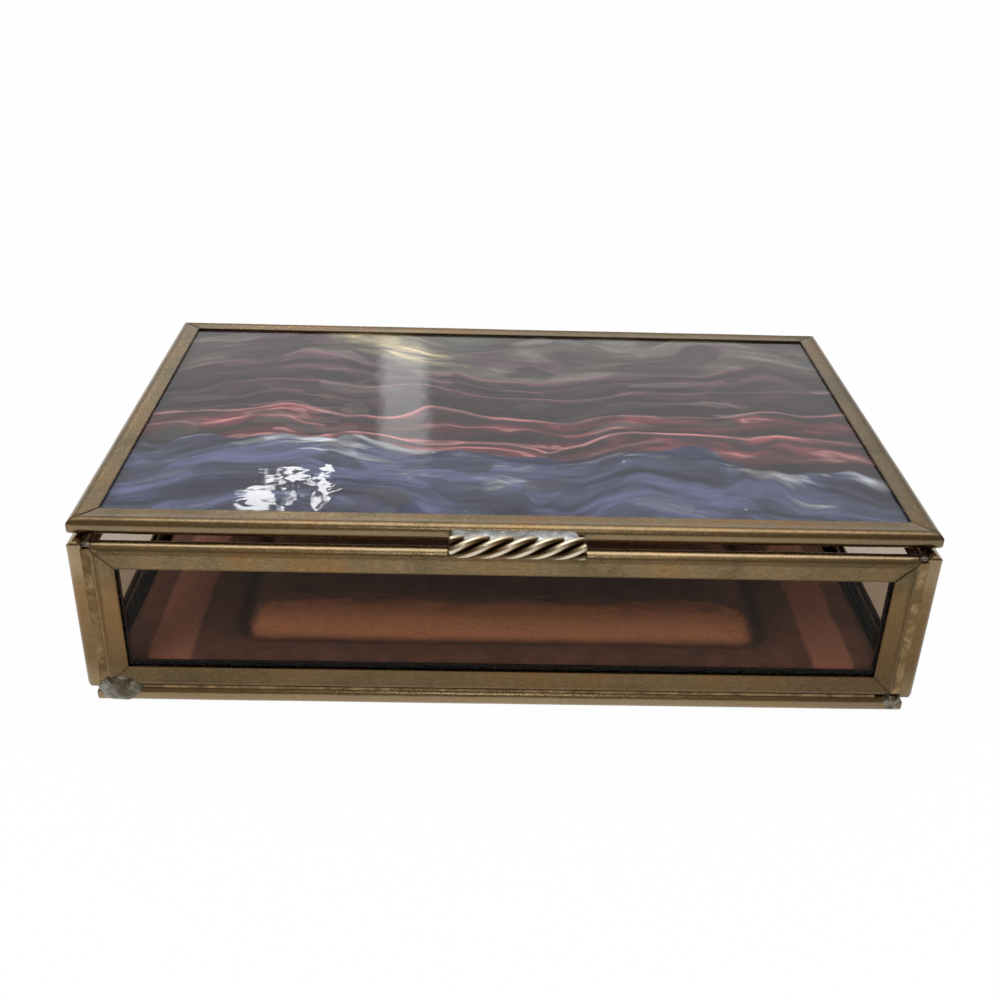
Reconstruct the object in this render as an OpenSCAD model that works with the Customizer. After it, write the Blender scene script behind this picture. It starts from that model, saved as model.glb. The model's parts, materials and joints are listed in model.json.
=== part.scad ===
// Glass casket box: six panes of glass framed in folded brass came, soldered
// into a box with a picture lid on a tube-and-rod hinge. Millimetres, +Z up,
// the front faces -Y, and the origin lies under the middle of the whole box.

/* [Box] */
// Width of the lid and of the body, left to right
box_w = 152.4; // [110:0.1:220]
// Depth of the body, front to back
body_d = 98; // [72:0.1:160]
// Height of the front wall, from the floor frame to its rim
front_h = 30.3; // [22:0.1:60]
// How far the side walls stand above the front wall
side_rise = 0.4; // [0.3:0.1:2]
// How far the floor frame sits in from the side walls
floor_inset = 1.6; // [0.4:0.1:2]

/* [Came] */
// Thickness of the wall and floor glass
glass_t = 2.2; // [1.8:0.1:3]
// Clearance on each side of the glass in its channel
glass_fit = 0.1; // [0.05:0.01:0.2]
// Thickness of the folded brass sheet
came_wall = 0.5; // [0.3:0.05:0.8]
// Height of the channel in the plane of its pane
came_h = 4.75; // [3.8:0.05:7]
// Radius filed on the outer corner of each frame
corner_r = 0.9; // [0.3:0.1:1.5]

/* [Lid] */
// How far the lid's front edge sits behind the body's front face
lid_setback = 2; // [1:0.1:5]
// How far the lid's back edge sits in front of the body's back face
lid_back_inset = 0.2; // [0:0.05:0.6]
// Gap between the closed lid and the side walls
lid_gap = 0.1; // [0.05:0.05:0.5]
// Thickness of the printed picture
print_t = 0.2; // [0.1:0.05:0.4]
// Thickness of the card behind the picture
card_t = 0.3; // [0.2:0.05:0.6]

/* [Hinge] */
// Diameter of the hinge rod
rod_d = 1.2; // [0.9:0.05:1.6]
// Radial clearance of the rod in its tube
rod_fit = 0.05; // [0.02:0.01:0.09]
// Wall of the hinge tube
tube_wall = 0.45; // [0.3:0.05:0.6]
// Gap between the hinge tube and the rim of the back wall
hinge_gap = 0.25; // [0.15:0.05:0.5]
// Distance from the side of the box to the end of the tube
tube_end = 5.7; // [4:0.1:12]
// Distance from the side of the box to the end of the rod
rod_end = 1.2; // [0.8:0.1:2]
// Length of each solder tack that holds the tube to the lid
tack_l = 9; // [4:0.5:20]

/* [Lift handle] */
// Length of the twisted handle
handle_l = 24; // [12:0.5:60]
// Diameter of the handle over its twisted wires
handle_d = 4; // [3:0.1:5]
// Length of one full turn of the twist
handle_lead = 16.8; // [10:0.1:40]
// Offset of the handle from the middle, to the right
handle_x = 1.5; // [-8:0.1:8]
// Gap between the handle and the rim of the front wall
handle_gap = 0.35; // [0.3:0.05:1]
// Lean of the handle in front of that rim, in degrees from upright
handle_lean = 36.5; // [30:0.5:45]
// Width of the solder web that carries the handle
web_w = 1.8; // [1:0.1:2.4]
// How far the solder web stops short of each end of the handle
web_inset = 1; // [0.5:0.1:4]

/* [Solder] */
// Depth of a seam's solder under the crowns of the cames
seam_sink = 0.75; // [0.5:0.05:1.1]
// Radius of the lumps on the corners of the floor
floor_lump_r = 2.6; // [2:0.1:3]
// Radius of the beads on the corners of the rim
rim_bead_r = 0.9; // [0.7:0.1:1.3]

/* [Velvet pad] */
// Thickness of the board under the velvet pad
board_t = 1; // [0.6:0.1:2]
// Gap between the pad and the walls
pad_gap = 0.6; // [0.3:0.1:2]
// Height of the pad's upright edge
pad_edge_h = 1.3; // [0.6:0.1:3]
// Further height of the pad's soft border
pad_border_h = 1.7; // [1:0.1:3]
// Further height of the raised middle of the pad
pad_field_h = 2; // [1:0.1:4]
// Width of the pad's border at its sides
pad_border_x = 22; // [14:0.5:30]
// Width of the pad's border at its front and back
pad_border_y = 8; // [7:0.5:16]
// How far the pad's sides draw in between its corners
pad_draw = 0.8; // [0.2:0.1:2]

/* [Hidden] */

BRASS = [0.53, 0.45, 0.30];
SOLDER = [0.52, 0.50, 0.45];
GLASS = [0.80, 0.86, 0.86, 0.30];
VELVET = [0.33, 0.13, 0.10];
CARD = [0.20, 0.17, 0.14];
PICTURE = [0.40, 0.34, 0.42];

// The came, from the glass that it holds
slot_t = glass_t + 2 * glass_fit;
came_t = slot_t + 2 * came_wall;
crown_r = came_t / 2;

// The walls
side_h = front_h + side_rise;
lid_z = came_t + side_h + lid_gap;
lid_d = body_d - lid_setback - lid_back_inset;
lid_crown_z = lid_z + crown_r;
front_pane_w = box_w - 2 * came_t;
side_pane_l = body_d - came_t;
floor_w = box_w - 2 * floor_inset;

// The solder: its clearance, the open bottom of a groove, and the floor's lumps
contact = 0.01;
seam_open = 0.5;
lump_proud = 0.3;
lump_gap = 0.5;
lump_x = box_w / 2 - came_t - 0.6;

// The hinge, under the crown of the lid's back came
bore_d = rod_d + 2 * rod_fit;
tube_d = bore_d + 2 * tube_wall;
hinge_z = lid_z - tube_d / 2;
back_h = hinge_z - tube_d / 2 - hinge_gap - came_t;
tube_l = box_w - 2 * tube_end;
rod_l = box_w - 2 * rod_end;
rod_solder_gap = 0.5;
rod_solder_r = rod_d / 2 + 0.35;
tack_w = 0.8 * tube_d;
tack_step = (tube_l - tack_l) / 3;

// The handle, set off from the crown of the front wall's rim
handle_reach = crown_r + handle_d / 2 + handle_gap;
handle_in = crown_r - handle_reach * sin(handle_lean);
handle_z = came_t + front_h - crown_r + handle_reach * cos(handle_lean);
strand_r = handle_d / 2 / (1 + sqrt(2));
web_l = handle_l - 2 * web_inset;

// The body's front face, so that the whole depth is centred on the origin
handle_front = handle_d / 2 - handle_in;
front_y = handle_front - (body_d + handle_front) / 2;
lid_y = front_y + lid_setback;
hinge_y = lid_y + lid_d - crown_r;
handle_y = front_y + handle_in;

// The pad and its board
pad_z = came_t + board_t;
pad_a = box_w / 2 - came_t - pad_gap;
pad_b = body_d / 2 - came_t - pad_gap;
pad_y = front_y + body_d / 2;
board_margin = 0.5;
pad_round = 2.6;
pad_slope = 6;
pad_groove = 1.1;
pad_nx = 40;
pad_ny = 26;

$fn = 96;

// ---- Came and glass --------------------------------------------------------

// Outline of a came: its crown at x = 0, its open side towards +x
module came_outline() {
    translate([crown_r, 0]) circle(r = crown_r);
    translate([crown_r, -crown_r]) square([came_h - crown_r, came_t]);
}

// The channel that holds the glass
module slot_outline() {
    translate([crown_r, 0]) circle(r = slot_t / 2);
    translate([crown_r, -slot_t / 2]) square([came_h, slot_t]);
}

// What the mitre and the filed corner take off one end of a came
module mitre_cut() {
    over = came_h + 1;
    translate([0, 0, -came_t])
        linear_extrude(2 * came_t) polygon([[-1, -1], [over, over], [-1, over]]);
    translate([0, 0, -came_t]) difference() {
        cube([corner_r, corner_r, 2 * came_t]);
        translate([corner_r, corner_r, -1]) cylinder(r = corner_r, h = 2 * came_t + 2);
    }
}

// A came of one length along +X, its crown at y = 0
module came(len) {
    difference() {
        rotate([90, 0, 90]) linear_extrude(len) difference() {
            came_outline();
            slot_outline();
        }
        mitre_cut();
        translate([len, 0, 0]) mirror([1, 0, 0]) mitre_cut();
    }
}

// One side of a w by h frame that lies in the XY plane, from its corner
module frame_side(w, h, side) {
    if (side == "low") came(w);
    if (side == "high") translate([w, h, 0]) rotate(180) came(w);
    if (side == "left") translate([0, h, 0]) rotate(-90) came(h);
    if (side == "right") translate([w, 0, 0]) rotate(90) came(h);
}

// A sheet in the middle plane of a w by h frame, its edges in the channels
module sheet(w, h, t, z0) {
    translate([crown_r, crown_r, z0]) cube([w - 2 * crown_r, h - 2 * crown_r, t]);
}

// ---- Where each pane stands ------------------------------------------------

module at_front() {
    translate([-front_pane_w / 2, front_y + crown_r, came_t]) rotate([90, 0, 0])
        children();
}

module at_back() {
    translate([-box_w / 2, front_y + body_d - crown_r, came_t]) rotate([90, 0, 0])
        children();
}

module at_left() {
    translate([-box_w / 2 + crown_r, front_y, came_t]) rotate([90, 0, 90]) children();
}

module at_right() {
    translate([box_w / 2 - crown_r, front_y, came_t]) rotate([90, 0, 90]) children();
}

module at_floor() {
    translate([-floor_w / 2, front_y, crown_r]) children();
}

module at_lid() {
    translate([-box_w / 2, lid_y, lid_crown_z]) children();
}

module front_side(side) color(BRASS) at_front() frame_side(front_pane_w, front_h, side);
module back_side(side) color(BRASS) at_back() frame_side(box_w, back_h, side);
module left_side(side) color(BRASS) at_left() frame_side(side_pane_l, side_h, side);
module right_side(side) color(BRASS) at_right() frame_side(side_pane_l, side_h, side);
module floor_side(side) color(BRASS) at_floor() frame_side(floor_w, body_d, side);
module lid_side(side) color(BRASS) at_lid() frame_side(box_w, lid_d, side);

// ---- The frames ------------------------------------------------------------

module front_came_top() front_side("high");
module front_came_bottom() front_side("low");
module front_came_left() front_side("left");
module front_came_right() front_side("right");

module back_came_top() back_side("high");
module back_came_bottom() back_side("low");
module back_came_left() back_side("left");
module back_came_right() back_side("right");

module left_came_top() left_side("high");
module left_came_bottom() left_side("low");
module left_came_front() left_side("left");
module left_came_back() left_side("right");

module right_came_top() right_side("high");
module right_came_bottom() right_side("low");
module right_came_front() right_side("left");
module right_came_back() right_side("right");

module floor_came_front() floor_side("low");
module floor_came_back() floor_side("high");
module floor_came_left() floor_side("left");
module floor_came_right() floor_side("right");

module lid_came_front() lid_side("low");
module lid_came_back() lid_side("high");
module lid_came_left() lid_side("left");
module lid_came_right() lid_side("right");

// ---- The glass and the picture ---------------------------------------------

module front_glass() color(GLASS) at_front() sheet(front_pane_w, front_h, glass_t, -glass_t / 2);
module back_glass() color(GLASS) at_back() sheet(box_w, back_h, glass_t, -glass_t / 2);
module left_glass() color(GLASS) at_left() sheet(side_pane_l, side_h, glass_t, -glass_t / 2);
module right_glass() color(GLASS) at_right() sheet(side_pane_l, side_h, glass_t, -glass_t / 2);
module floor_glass() color(GLASS) at_floor() sheet(floor_w, body_d, glass_t, -glass_t / 2);

// The lid's glass, picture and card share one channel, the card at the bottom
module lid_glass() {
    low = card_t + print_t;
    color(GLASS) at_lid() sheet(box_w, lid_d, glass_t - low, low - glass_t / 2);
}

module lid_print() {
    color(PICTURE) at_lid() sheet(box_w, lid_d, print_t, card_t - glass_t / 2);
}

module lid_backing() {
    color(CARD) at_lid() sheet(box_w, lid_d, card_t, -glass_t / 2);
}

// ---- The lift handle -------------------------------------------------------

// A bar of four wires twisted together, along +X
module lift_handle() {
    turn = 360 * handle_l / handle_lead;
    color(BRASS)
        translate([handle_x - handle_l / 2, handle_y, handle_z]) rotate([0, 90, 0])
            linear_extrude(handle_l, twist = turn, slices = ceil(turn / 15), $fn = 12) {
                for (k = [0:3])
                    rotate(90 * k) translate([strand_r * sqrt(2), 0])
                        circle(r = strand_r, $fn = 12);
                square(2 * strand_r, center = true);
            }
}

// The web of solder between the handle and the crown of the lid
module handle_solder() {
    run = [lid_y + crown_r - handle_y, lid_crown_z - handle_z];
    color(SOLDER)
        translate([handle_x - web_l / 2, handle_y, handle_z])
            rotate([90, 0, 90]) linear_extrude(web_l)
                rotate(atan2(run[1], run[0])) difference() {
                    translate([0, -web_w / 2]) square([norm(run), web_w]);
                    circle(r = handle_d / 2 + contact);
                    translate([norm(run), 0]) circle(r = crown_r + contact);
                }
}

// ---- The hinge -------------------------------------------------------------

// A cylinder along X, centred on the hinge's axis
module hinge_bar(d, len) {
    translate([-len / 2, hinge_y, hinge_z]) rotate([0, 90, 0]) cylinder(d = d, h = len);
}

module hinge_tube() {
    color(BRASS) difference() {
        hinge_bar(tube_d, tube_l);
        hinge_bar(bore_d, tube_l + 2);
    }
}

module hinge_rod() {
    color(BRASS) hinge_bar(rod_d, rod_l);
}

// Short tacks in the corner between the tube and the lid's flange
module hinge_tube_solder() {
    color(SOLDER) for (k = [0:3])
        difference() {
            translate([-tube_l / 2 + k * tack_step, hinge_y - tack_w / 2, hinge_z + 0.1 * tube_d])
                cube([tack_l, tack_w, lid_z - hinge_z - 0.1 * tube_d]);
            hinge_bar(tube_d + 2 * contact, tube_l + 2);
            translate([-box_w, hinge_y, lid_crown_z]) rotate([0, 90, 0])
                cylinder(r = crown_r + contact, h = 2 * box_w);
        }
}

// Lumps that hold the ends of the rod on the rim of the back wall
module hinge_rod_solder() {
    near = box_w / 2 - tube_end + rod_solder_gap;
    far = box_w / 2 - corner_r;
    foot = hinge_z - came_t - back_h + crown_r;
    color(SOLDER) for (s = [-1, 1])
        difference() {
            translate([s > 0 ? near : -far, hinge_y, hinge_z]) {
                rotate([0, 90, 0]) cylinder(r = rod_solder_r, h = far - near);
                translate([0, -rod_solder_r, -foot]) cube([far - near, 2 * rod_solder_r, foot]);
            }
            hinge_bar(rod_d + 2 * contact, rod_l + 2 * contact);
            translate([-box_w, front_y + body_d - crown_r, came_t + back_h - crown_r])
                rotate([0, 90, 0]) cylinder(r = crown_r + contact, h = 2 * box_w);
            translate([-box_w / 2 - 1, hinge_y - 2 * tube_d, 0])
                cube([box_w + 2, 4 * tube_d, came_t + back_h - crown_r]);
        }
}

// ---- The solder that joins the panes ---------------------------------------

// Solder in the groove between two crowns, d apart along x, on the -y side
module seam_outline(d) {
    difference() {
        translate([0, -crown_r + seam_sink]) square([d, crown_r - seam_sink - seam_open]);
        circle(r = crown_r + contact);
        translate([d, 0]) circle(r = crown_r + contact);
    }
}

// Upright seams where the side walls meet the front wall and the back wall
module corner_seam_solder() {
    z0 = came_t + crown_r;
    front_l = front_h - 2 * crown_r;
    back_l = back_h - 2 * crown_r;
    color(SOLDER) for (m = [0, 1])
        mirror([m, 0, 0]) {
            translate([box_w / 2 - came_t - crown_r, front_y + crown_r, z0])
                linear_extrude(front_l) seam_outline(came_t);
            translate([box_w / 2 - crown_r, front_y + body_d - came_t - crown_r, z0])
                linear_extrude(back_l) rotate(90) seam_outline(came_t);
        }
}

// Level seams where the walls stand on the floor frame
module floor_seam_solder() {
    long_l = 2 * (lump_x - floor_lump_r - lump_gap);
    side_l = body_d - 4 * crown_r;
    lean = [floor_inset, came_t];
    color(SOLDER) {
        translate([-long_l / 2, front_y + crown_r, crown_r])
            rotate([90, 0, 90]) linear_extrude(long_l)
                mirror([1, 0]) rotate(90) seam_outline(came_t);
        translate([-long_l / 2, front_y + body_d - crown_r, crown_r])
            rotate([90, 0, 90]) linear_extrude(long_l) rotate(90) seam_outline(came_t);
        for (m = [0, 1])
            mirror([m, 0, 0])
                translate([floor_w / 2 - crown_r, front_y + side_l + 2 * crown_r, crown_r])
                    rotate([90, 0, 0]) linear_extrude(side_l)
                        rotate(atan2(lean[1], lean[0])) seam_outline(norm(lean));
    }
}

// Lumps in the corners where the walls meet on the floor frame, proud only at the front
module floor_corner_solder() {
    front = front_y + floor_lump_r - lump_proud;
    back = front_y + body_d - floor_lump_r;
    color(SOLDER) for (m = [0, 1])
        mirror([m, 0, 0]) {
            corner_lump([lump_x, front, came_t], front_y + crown_r, 1);
            corner_lump([lump_x, back, came_t], front_y + body_d - crown_r, -1);
        }
}

// One lump, cut by the crowns around it; inward is +1 at the front and -1 at the back
module corner_lump(centre, crown_y, inward) {
    long = 4 * floor_lump_r;
    difference() {
        translate(centre) sphere(r = floor_lump_r);
        translate([centre[0] - long / 2, crown_y - inward * seam_open - (inward < 0 ? long : 0), 0])
            cube([long, long, long]);
        for (z = [crown_r, came_t + crown_r])
            translate([centre[0] - long / 2, crown_y, z]) rotate([0, 90, 0])
                cylinder(r = crown_r + contact, h = long);
        translate([box_w / 2 - crown_r, crown_y - long / 2, came_t + crown_r]) rotate([-90, 0, 0])
            cylinder(r = crown_r + contact, h = long);
    }
}

// Beads where the rim of the front wall meets the side walls
module rim_corner_solder() {
    rim_z = came_t + front_h - crown_r;
    color(SOLDER) for (m = [0, 1])
        mirror([m, 0, 0]) difference() {
            translate([box_w / 2 - came_t, front_y + crown_r, rim_z + crown_r - 0.2])
                sphere(r = rim_bead_r);
            translate([box_w / 2 - came_t - contact, front_y - came_t, rim_z])
                cube([came_t, 3 * came_t, came_t]);
            translate([box_w / 2 - 3 * came_t, front_y + crown_r, rim_z]) rotate([0, 90, 0])
                cylinder(r = crown_r + contact, h = 4 * came_t);
        }
}

// ---- The velvet pad --------------------------------------------------------

// Board that lies on the inner flanges of the floor frame
module pad_board() {
    a = pad_a - board_margin;
    b = pad_b - board_margin;
    color(CARD) translate([-a, pad_y - b, came_t]) cube([2 * a, 2 * b, board_t]);
}

function smooth(t) = t <= 0 ? 0 : t >= 1 ? 1 : t * t * (3 - 2 * t);

// How far a point lies inside a rectangle of half sizes a, b with round corners
function inside(x, y, a, b, r) =
    let (dx = abs(x) - a + r, dy = abs(y) - b + r)
    r - norm([max(dx, 0), max(dy, 0)]) - min(max(dx, dy), 0);

// Height of the pad's cover over its board
function pad_height(x, y) =
    let (
        edge = smooth(inside(x, y, pad_a, pad_b, pad_round) / pad_round),
        field = inside(x, y, pad_a - pad_border_x, pad_b - pad_border_y, 2 * pad_round),
        rise = smooth(field / pad_slope),
        groove = exp(-pow(field / pad_round, 2))
    )
    pad_edge_h + pad_border_h * edge + pad_field_h * rise - pad_groove * groove * edge;

// A point of the cover; u and v run from -1 to 1, closer together at the edge
function pad_point(u, v) =
    let (
        su = sin(90 * u),
        sv = sin(90 * v),
        x = su * 0.5 + u * 0.5,
        y = sv * 0.5 + v * 0.5,
        draw_x = pad_draw * (1 - y * y) * x * x,
        draw_y = pad_draw * (1 - x * x) * y * y,
        px = x * pad_a,
        py = y * pad_b
    )
    [
        px - sign(x) * draw_x,
        pad_y + py - sign(y) * draw_y,
        pad_z + pad_height(px, py)
    ];

function flat(p) = [p[0], p[1], pad_z];

module velvet_pad() {
    row = pad_nx + 1;
    top = [
        for (j = [0:pad_ny]) for (i = [0:pad_nx])
            pad_point(2 * i / pad_nx - 1, 2 * j / pad_ny - 1)
    ];
    rim = [
        for (i = [0:pad_nx - 1]) i,
        for (j = [0:pad_ny - 1]) j * row + pad_nx,
        for (i = [pad_nx:-1:1]) pad_ny * row + i,
        for (j = [pad_ny:-1:1]) j * row,
    ];
    n = len(rim);
    base = len(top);
    cover = [
        for (j = [0:pad_ny - 1]) for (i = [0:pad_nx - 1])
            let (a = j * row + i)
            each [[a, a + row, a + 1], [a + 1, a + row, a + row + 1]]
    ];
    wall = [
        for (k = [0:n - 1])
            let (m = (k + 1) % n)
            each [[rim[k], rim[m], base + k], [rim[m], base + m, base + k]]
    ];
    color(VELVET) polyhedron(
        points = concat(top, [for (k = rim) flat(top[k])]),
        faces = concat(cover, wall, [[for (k = [0:n - 1]) base + k]])
    );
}

// ---- The box ---------------------------------------------------------------

front_came_top();
front_came_bottom();
front_came_left();
front_came_right();
back_came_top();
back_came_bottom();
back_came_left();
back_came_right();
left_came_top();
left_came_bottom();
left_came_front();
left_came_back();
right_came_top();
right_came_bottom();
right_came_front();
right_came_back();
floor_came_front();
floor_came_back();
floor_came_left();
floor_came_right();
lid_came_front();
lid_came_back();
lid_came_left();
lid_came_right();
front_glass();
back_glass();
left_glass();
right_glass();
floor_glass();
lid_glass();
lid_print();
lid_backing();
lift_handle();
handle_solder();
hinge_tube();
hinge_tube_solder();
hinge_rod();
hinge_rod_solder();
corner_seam_solder();
floor_seam_solder();
floor_corner_solder();
rim_corner_solder();
pad_board();
velvet_pad();
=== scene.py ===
"""Looks of a glass casket box: six panes framed in soldered brass came, a picture lid and a velvet pad.

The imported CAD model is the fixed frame. Each sub-assembly below is a class that measures its place from that
frame, models its pieces with Blender's own operators and dresses them. Pieces are modelled in millimetres and
set into the frame, which is in metres, when they are placed.
"""

import json
import logging
import math
from collections.abc import Callable, Iterable
from dataclasses import dataclass
from enum import Enum

import bmesh
import bpy
from mathutils import Matrix, Vector, noise

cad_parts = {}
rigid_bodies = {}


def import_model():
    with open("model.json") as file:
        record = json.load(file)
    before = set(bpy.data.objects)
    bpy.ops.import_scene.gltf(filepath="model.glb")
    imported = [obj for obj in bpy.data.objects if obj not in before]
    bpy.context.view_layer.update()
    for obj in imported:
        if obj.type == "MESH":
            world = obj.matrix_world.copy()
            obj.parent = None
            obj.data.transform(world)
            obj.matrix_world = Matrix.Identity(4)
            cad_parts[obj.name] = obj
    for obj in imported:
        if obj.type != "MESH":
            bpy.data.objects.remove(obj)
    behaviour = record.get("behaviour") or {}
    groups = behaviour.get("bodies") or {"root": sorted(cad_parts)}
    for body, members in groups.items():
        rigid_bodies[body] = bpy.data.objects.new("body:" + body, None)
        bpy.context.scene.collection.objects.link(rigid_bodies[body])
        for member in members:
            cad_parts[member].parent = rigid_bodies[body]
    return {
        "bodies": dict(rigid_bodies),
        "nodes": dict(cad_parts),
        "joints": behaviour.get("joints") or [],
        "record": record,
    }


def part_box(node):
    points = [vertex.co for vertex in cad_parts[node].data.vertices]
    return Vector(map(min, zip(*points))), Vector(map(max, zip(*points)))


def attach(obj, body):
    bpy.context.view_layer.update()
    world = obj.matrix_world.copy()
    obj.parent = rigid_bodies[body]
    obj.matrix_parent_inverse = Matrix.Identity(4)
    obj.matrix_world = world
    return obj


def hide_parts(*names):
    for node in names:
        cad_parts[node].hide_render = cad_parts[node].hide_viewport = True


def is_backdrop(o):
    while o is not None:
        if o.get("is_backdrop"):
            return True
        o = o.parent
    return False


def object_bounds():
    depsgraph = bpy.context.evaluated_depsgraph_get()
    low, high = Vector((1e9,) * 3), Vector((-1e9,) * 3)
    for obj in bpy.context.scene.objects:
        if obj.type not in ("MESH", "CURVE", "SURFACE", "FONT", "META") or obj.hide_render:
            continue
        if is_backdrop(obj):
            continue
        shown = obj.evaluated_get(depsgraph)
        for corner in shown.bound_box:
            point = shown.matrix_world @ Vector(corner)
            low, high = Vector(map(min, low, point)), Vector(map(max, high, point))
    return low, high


LOG = logging.getLogger("casket")
MM = 0.001
TINY = 1e-4

Triple = tuple[float, float, float]
Colour = Triple
Span = tuple[float, float]
Object = bpy.types.Object
Socket = bpy.types.NodeSocket
Value = float | int | tuple | Socket


# ---- Materials: a small builder for node trees --------------------------------------------------


class Graph:
    """The node tree of a material or of the surroundings, written as plain calls."""

    def __init__(self, owner: bpy.types.Material | bpy.types.World) -> None:
        """Starts with an empty tree.

        Args:
            owner: The material or world that the tree belongs to.
        """
        self.owner = owner
        self.owner.use_nodes = True
        self.tree = self.owner.node_tree
        self.tree.nodes.clear()

    @staticmethod
    def named(name: str) -> "Graph":
        """The tree of a new material."""
        return Graph(bpy.data.materials.new(name))

    def add(self, kind: str, inputs: dict[str | int, Value] | None = None,
            **settings: object) -> bpy.types.Node:
        """Adds a node.

        Args:
            kind: The node's type, without the leading ShaderNode.
            inputs: Its inputs by name or number, each a constant or another node's output.
            settings: Its own settings.

        Returns:
            The node.
        """
        node = self.tree.nodes.new("ShaderNode" + kind)
        for key, value in settings.items():
            setattr(node, key, value)
        for key, value in (inputs or {}).items():
            socket = node.inputs[key]
            if isinstance(value, Socket):
                self.tree.links.new(value, socket)
            elif isinstance(value, tuple) and socket.type == "RGBA":
                socket.default_value = (*value[:3], 1.0)
            else:
                socket.default_value = value
        return node

    def points(self) -> Socket:
        """Object coordinates in millimetres."""
        place = self.add("TexCoord").outputs["Object"]
        return self.add("VectorMath", {0: place, "Scale": 1 / MM}, operation="SCALE").outputs[0]

    def attribute(self, name: str) -> bpy.types.Node:
        """The node that reads one of the mesh's attributes."""
        return self.add("Attribute", attribute_type="GEOMETRY", attribute_name=name)

    def turn(self, vector: Socket, scale: Triple, degrees: float = 0.0) -> Socket:
        """Scales coordinates and turns them about Z.

        Args:
            vector: The coordinates.
            scale: The scale along each axis.
            degrees: The turn about Z.

        Returns:
            The changed coordinates.
        """
        inputs = {"Vector": vector, "Scale": scale, "Rotation": (0, 0, math.radians(degrees))}
        return self.add("Mapping", inputs, vector_type="POINT").outputs[0]

    def noise(self, vector: Socket, scale: float, detail: float = 3, rough: float = 0.5,
              warp: float = 0) -> Socket:
        """Soft noise from 0 to 1.

        Args:
            vector: The coordinates.
            scale: How many features lie in one unit of them.
            detail: The number of finer layers.
            rough: How strong the finer layers are.
            warp: How far the noise is distorted.

        Returns:
            The noise.
        """
        inputs = {"Vector": vector, "Scale": scale, "Detail": detail, "Roughness": rough, "Distortion": warp}
        return self.add("TexNoise", inputs).outputs[0]

    def calc(self, operation: str, a: Value, b: Value = 0.0, c: Value = 0.0, clamp: bool = False) -> Socket:
        """One step of arithmetic.

        Args:
            operation: The Math node's operation.
            a: The first number.
            b: The second number.
            c: The third number.
            clamp: Whether the result is held between 0 and 1.

        Returns:
            The result.
        """
        return self.add("Math", {0: a, 1: b, 2: c}, operation=operation, use_clamp=clamp).outputs[0]

    def rise(self, value: Value, low: float, high: float, start: float = 0.0, end: float = 1.0) -> Socket:
        """A smooth rise from start to end as value goes from low to high.

        Args:
            value: The number that drives the rise.
            low: Where it begins.
            high: Where it ends.
            start: The result below low.
            end: The result above high.

        Returns:
            The rising number.
        """
        inputs = {"Value": value, "From Min": low, "From Max": high, "To Min": start, "To Max": end}
        return self.add("MapRange", inputs, interpolation_type="SMOOTHSTEP").outputs[0]

    def band(self, value: Value, low: float, high: float, soft: float) -> Socket:
        """One inside the band from low to high, and zero outside it, with soft edges."""
        up = self.rise(value, low - soft, low + soft)
        return self.calc("MULTIPLY", up, self.rise(value, high - soft, high + soft, 1, 0))

    def mix(self, share: Value, first: Value, second: Value) -> Socket:
        """Two colours mixed, share being how much of the second shows."""
        return self.add("Mix", {0: share, 6: first, 7: second}, data_type="RGBA").outputs[2]

    def tone(self, colour: Value, value: Value) -> Socket:
        """The colour made darker or lighter by a number."""
        return self.add("VectorMath", {0: colour, "Scale": value}, operation="SCALE").outputs[0]

    def ramp(self, share: Value, *stops: tuple[float, Colour]) -> Socket:
        """A colour ramp.

        Args:
            share: The number that picks the colour.
            stops: Each stop's place and colour.

        Returns:
            The colour.
        """
        node = self.add("ValToRGB", {0: share})
        elements = node.color_ramp.elements
        while len(elements) < len(stops):
            elements.new(0.5)
        for element, (place, colour) in zip(elements, stops):
            element.position = place
            element.color = (*colour, 1.0)
        return node.outputs[0]

    def split(self, vector: Socket) -> list[Socket]:
        """The three parts of a vector."""
        return list(self.add("SeparateXYZ", {0: vector}).outputs)

    def join(self, x: Value, y: Value, z: Value) -> Socket:
        """A vector from its three parts."""
        return self.add("CombineXYZ", {0: x, 1: y, 2: z}).outputs[0]

    def bump(self, height: Value, depth: float, normal: Socket | None = None) -> Socket:
        """A bumped normal.

        Args:
            height: The height, from 0 to 1.
            depth: What a height of 1 stands for, in millimetres.
            normal: The normal that it is added to.

        Returns:
            The normal.
        """
        inputs = {"Height": height, "Distance": depth * MM}
        if normal is not None:
            inputs["Normal"] = normal
        return self.add("Bump", inputs).outputs[0]

    def surface(self, colour: Value, rough: Value, normal: Socket,
                others: dict[str, Value] | None = None) -> bpy.types.Node:
        """Adds the principled shader.

        Args:
            colour: Its base colour.
            rough: Its roughness.
            normal: Its bumped normal.
            others: Other inputs by name.

        Returns:
            The shader.
        """
        inputs = {"Base Color": colour, "Roughness": rough, "Normal": normal}
        return self.add("BsdfPrincipled", inputs | (others or {}))

    def glow(self, colour: Colour, strength: float) -> bpy.types.Node:
        """A shader that only shines."""
        return self.add("Emission", {"Color": colour, "Strength": strength})

    def blend(self, share: Value, first: bpy.types.Node, second: bpy.types.Node) -> bpy.types.Node:
        """Two shaders mixed, share being how much of the second shows."""
        return self.add("MixShader", {0: share, 1: first.outputs[0], 2: second.outputs[0]})

    def finish(self, shader: bpy.types.Node) -> bpy.types.Material | bpy.types.World:
        """Connects the surface shader.

        Args:
            shader: The shader.

        Returns:
            The finished material or world.
        """
        kind = "OutputWorld" if isinstance(self.owner, bpy.types.World) else "OutputMaterial"
        self.add(kind, {"Surface": shader.outputs[0]})
        return self.owner


class Form(Enum):
    """What a brass piece is made from, which says how its tarnish, painted highlight and painted shade lie."""

    CAME = "came"
    WIRE = "wire"
    BAR = "bar"


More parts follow.
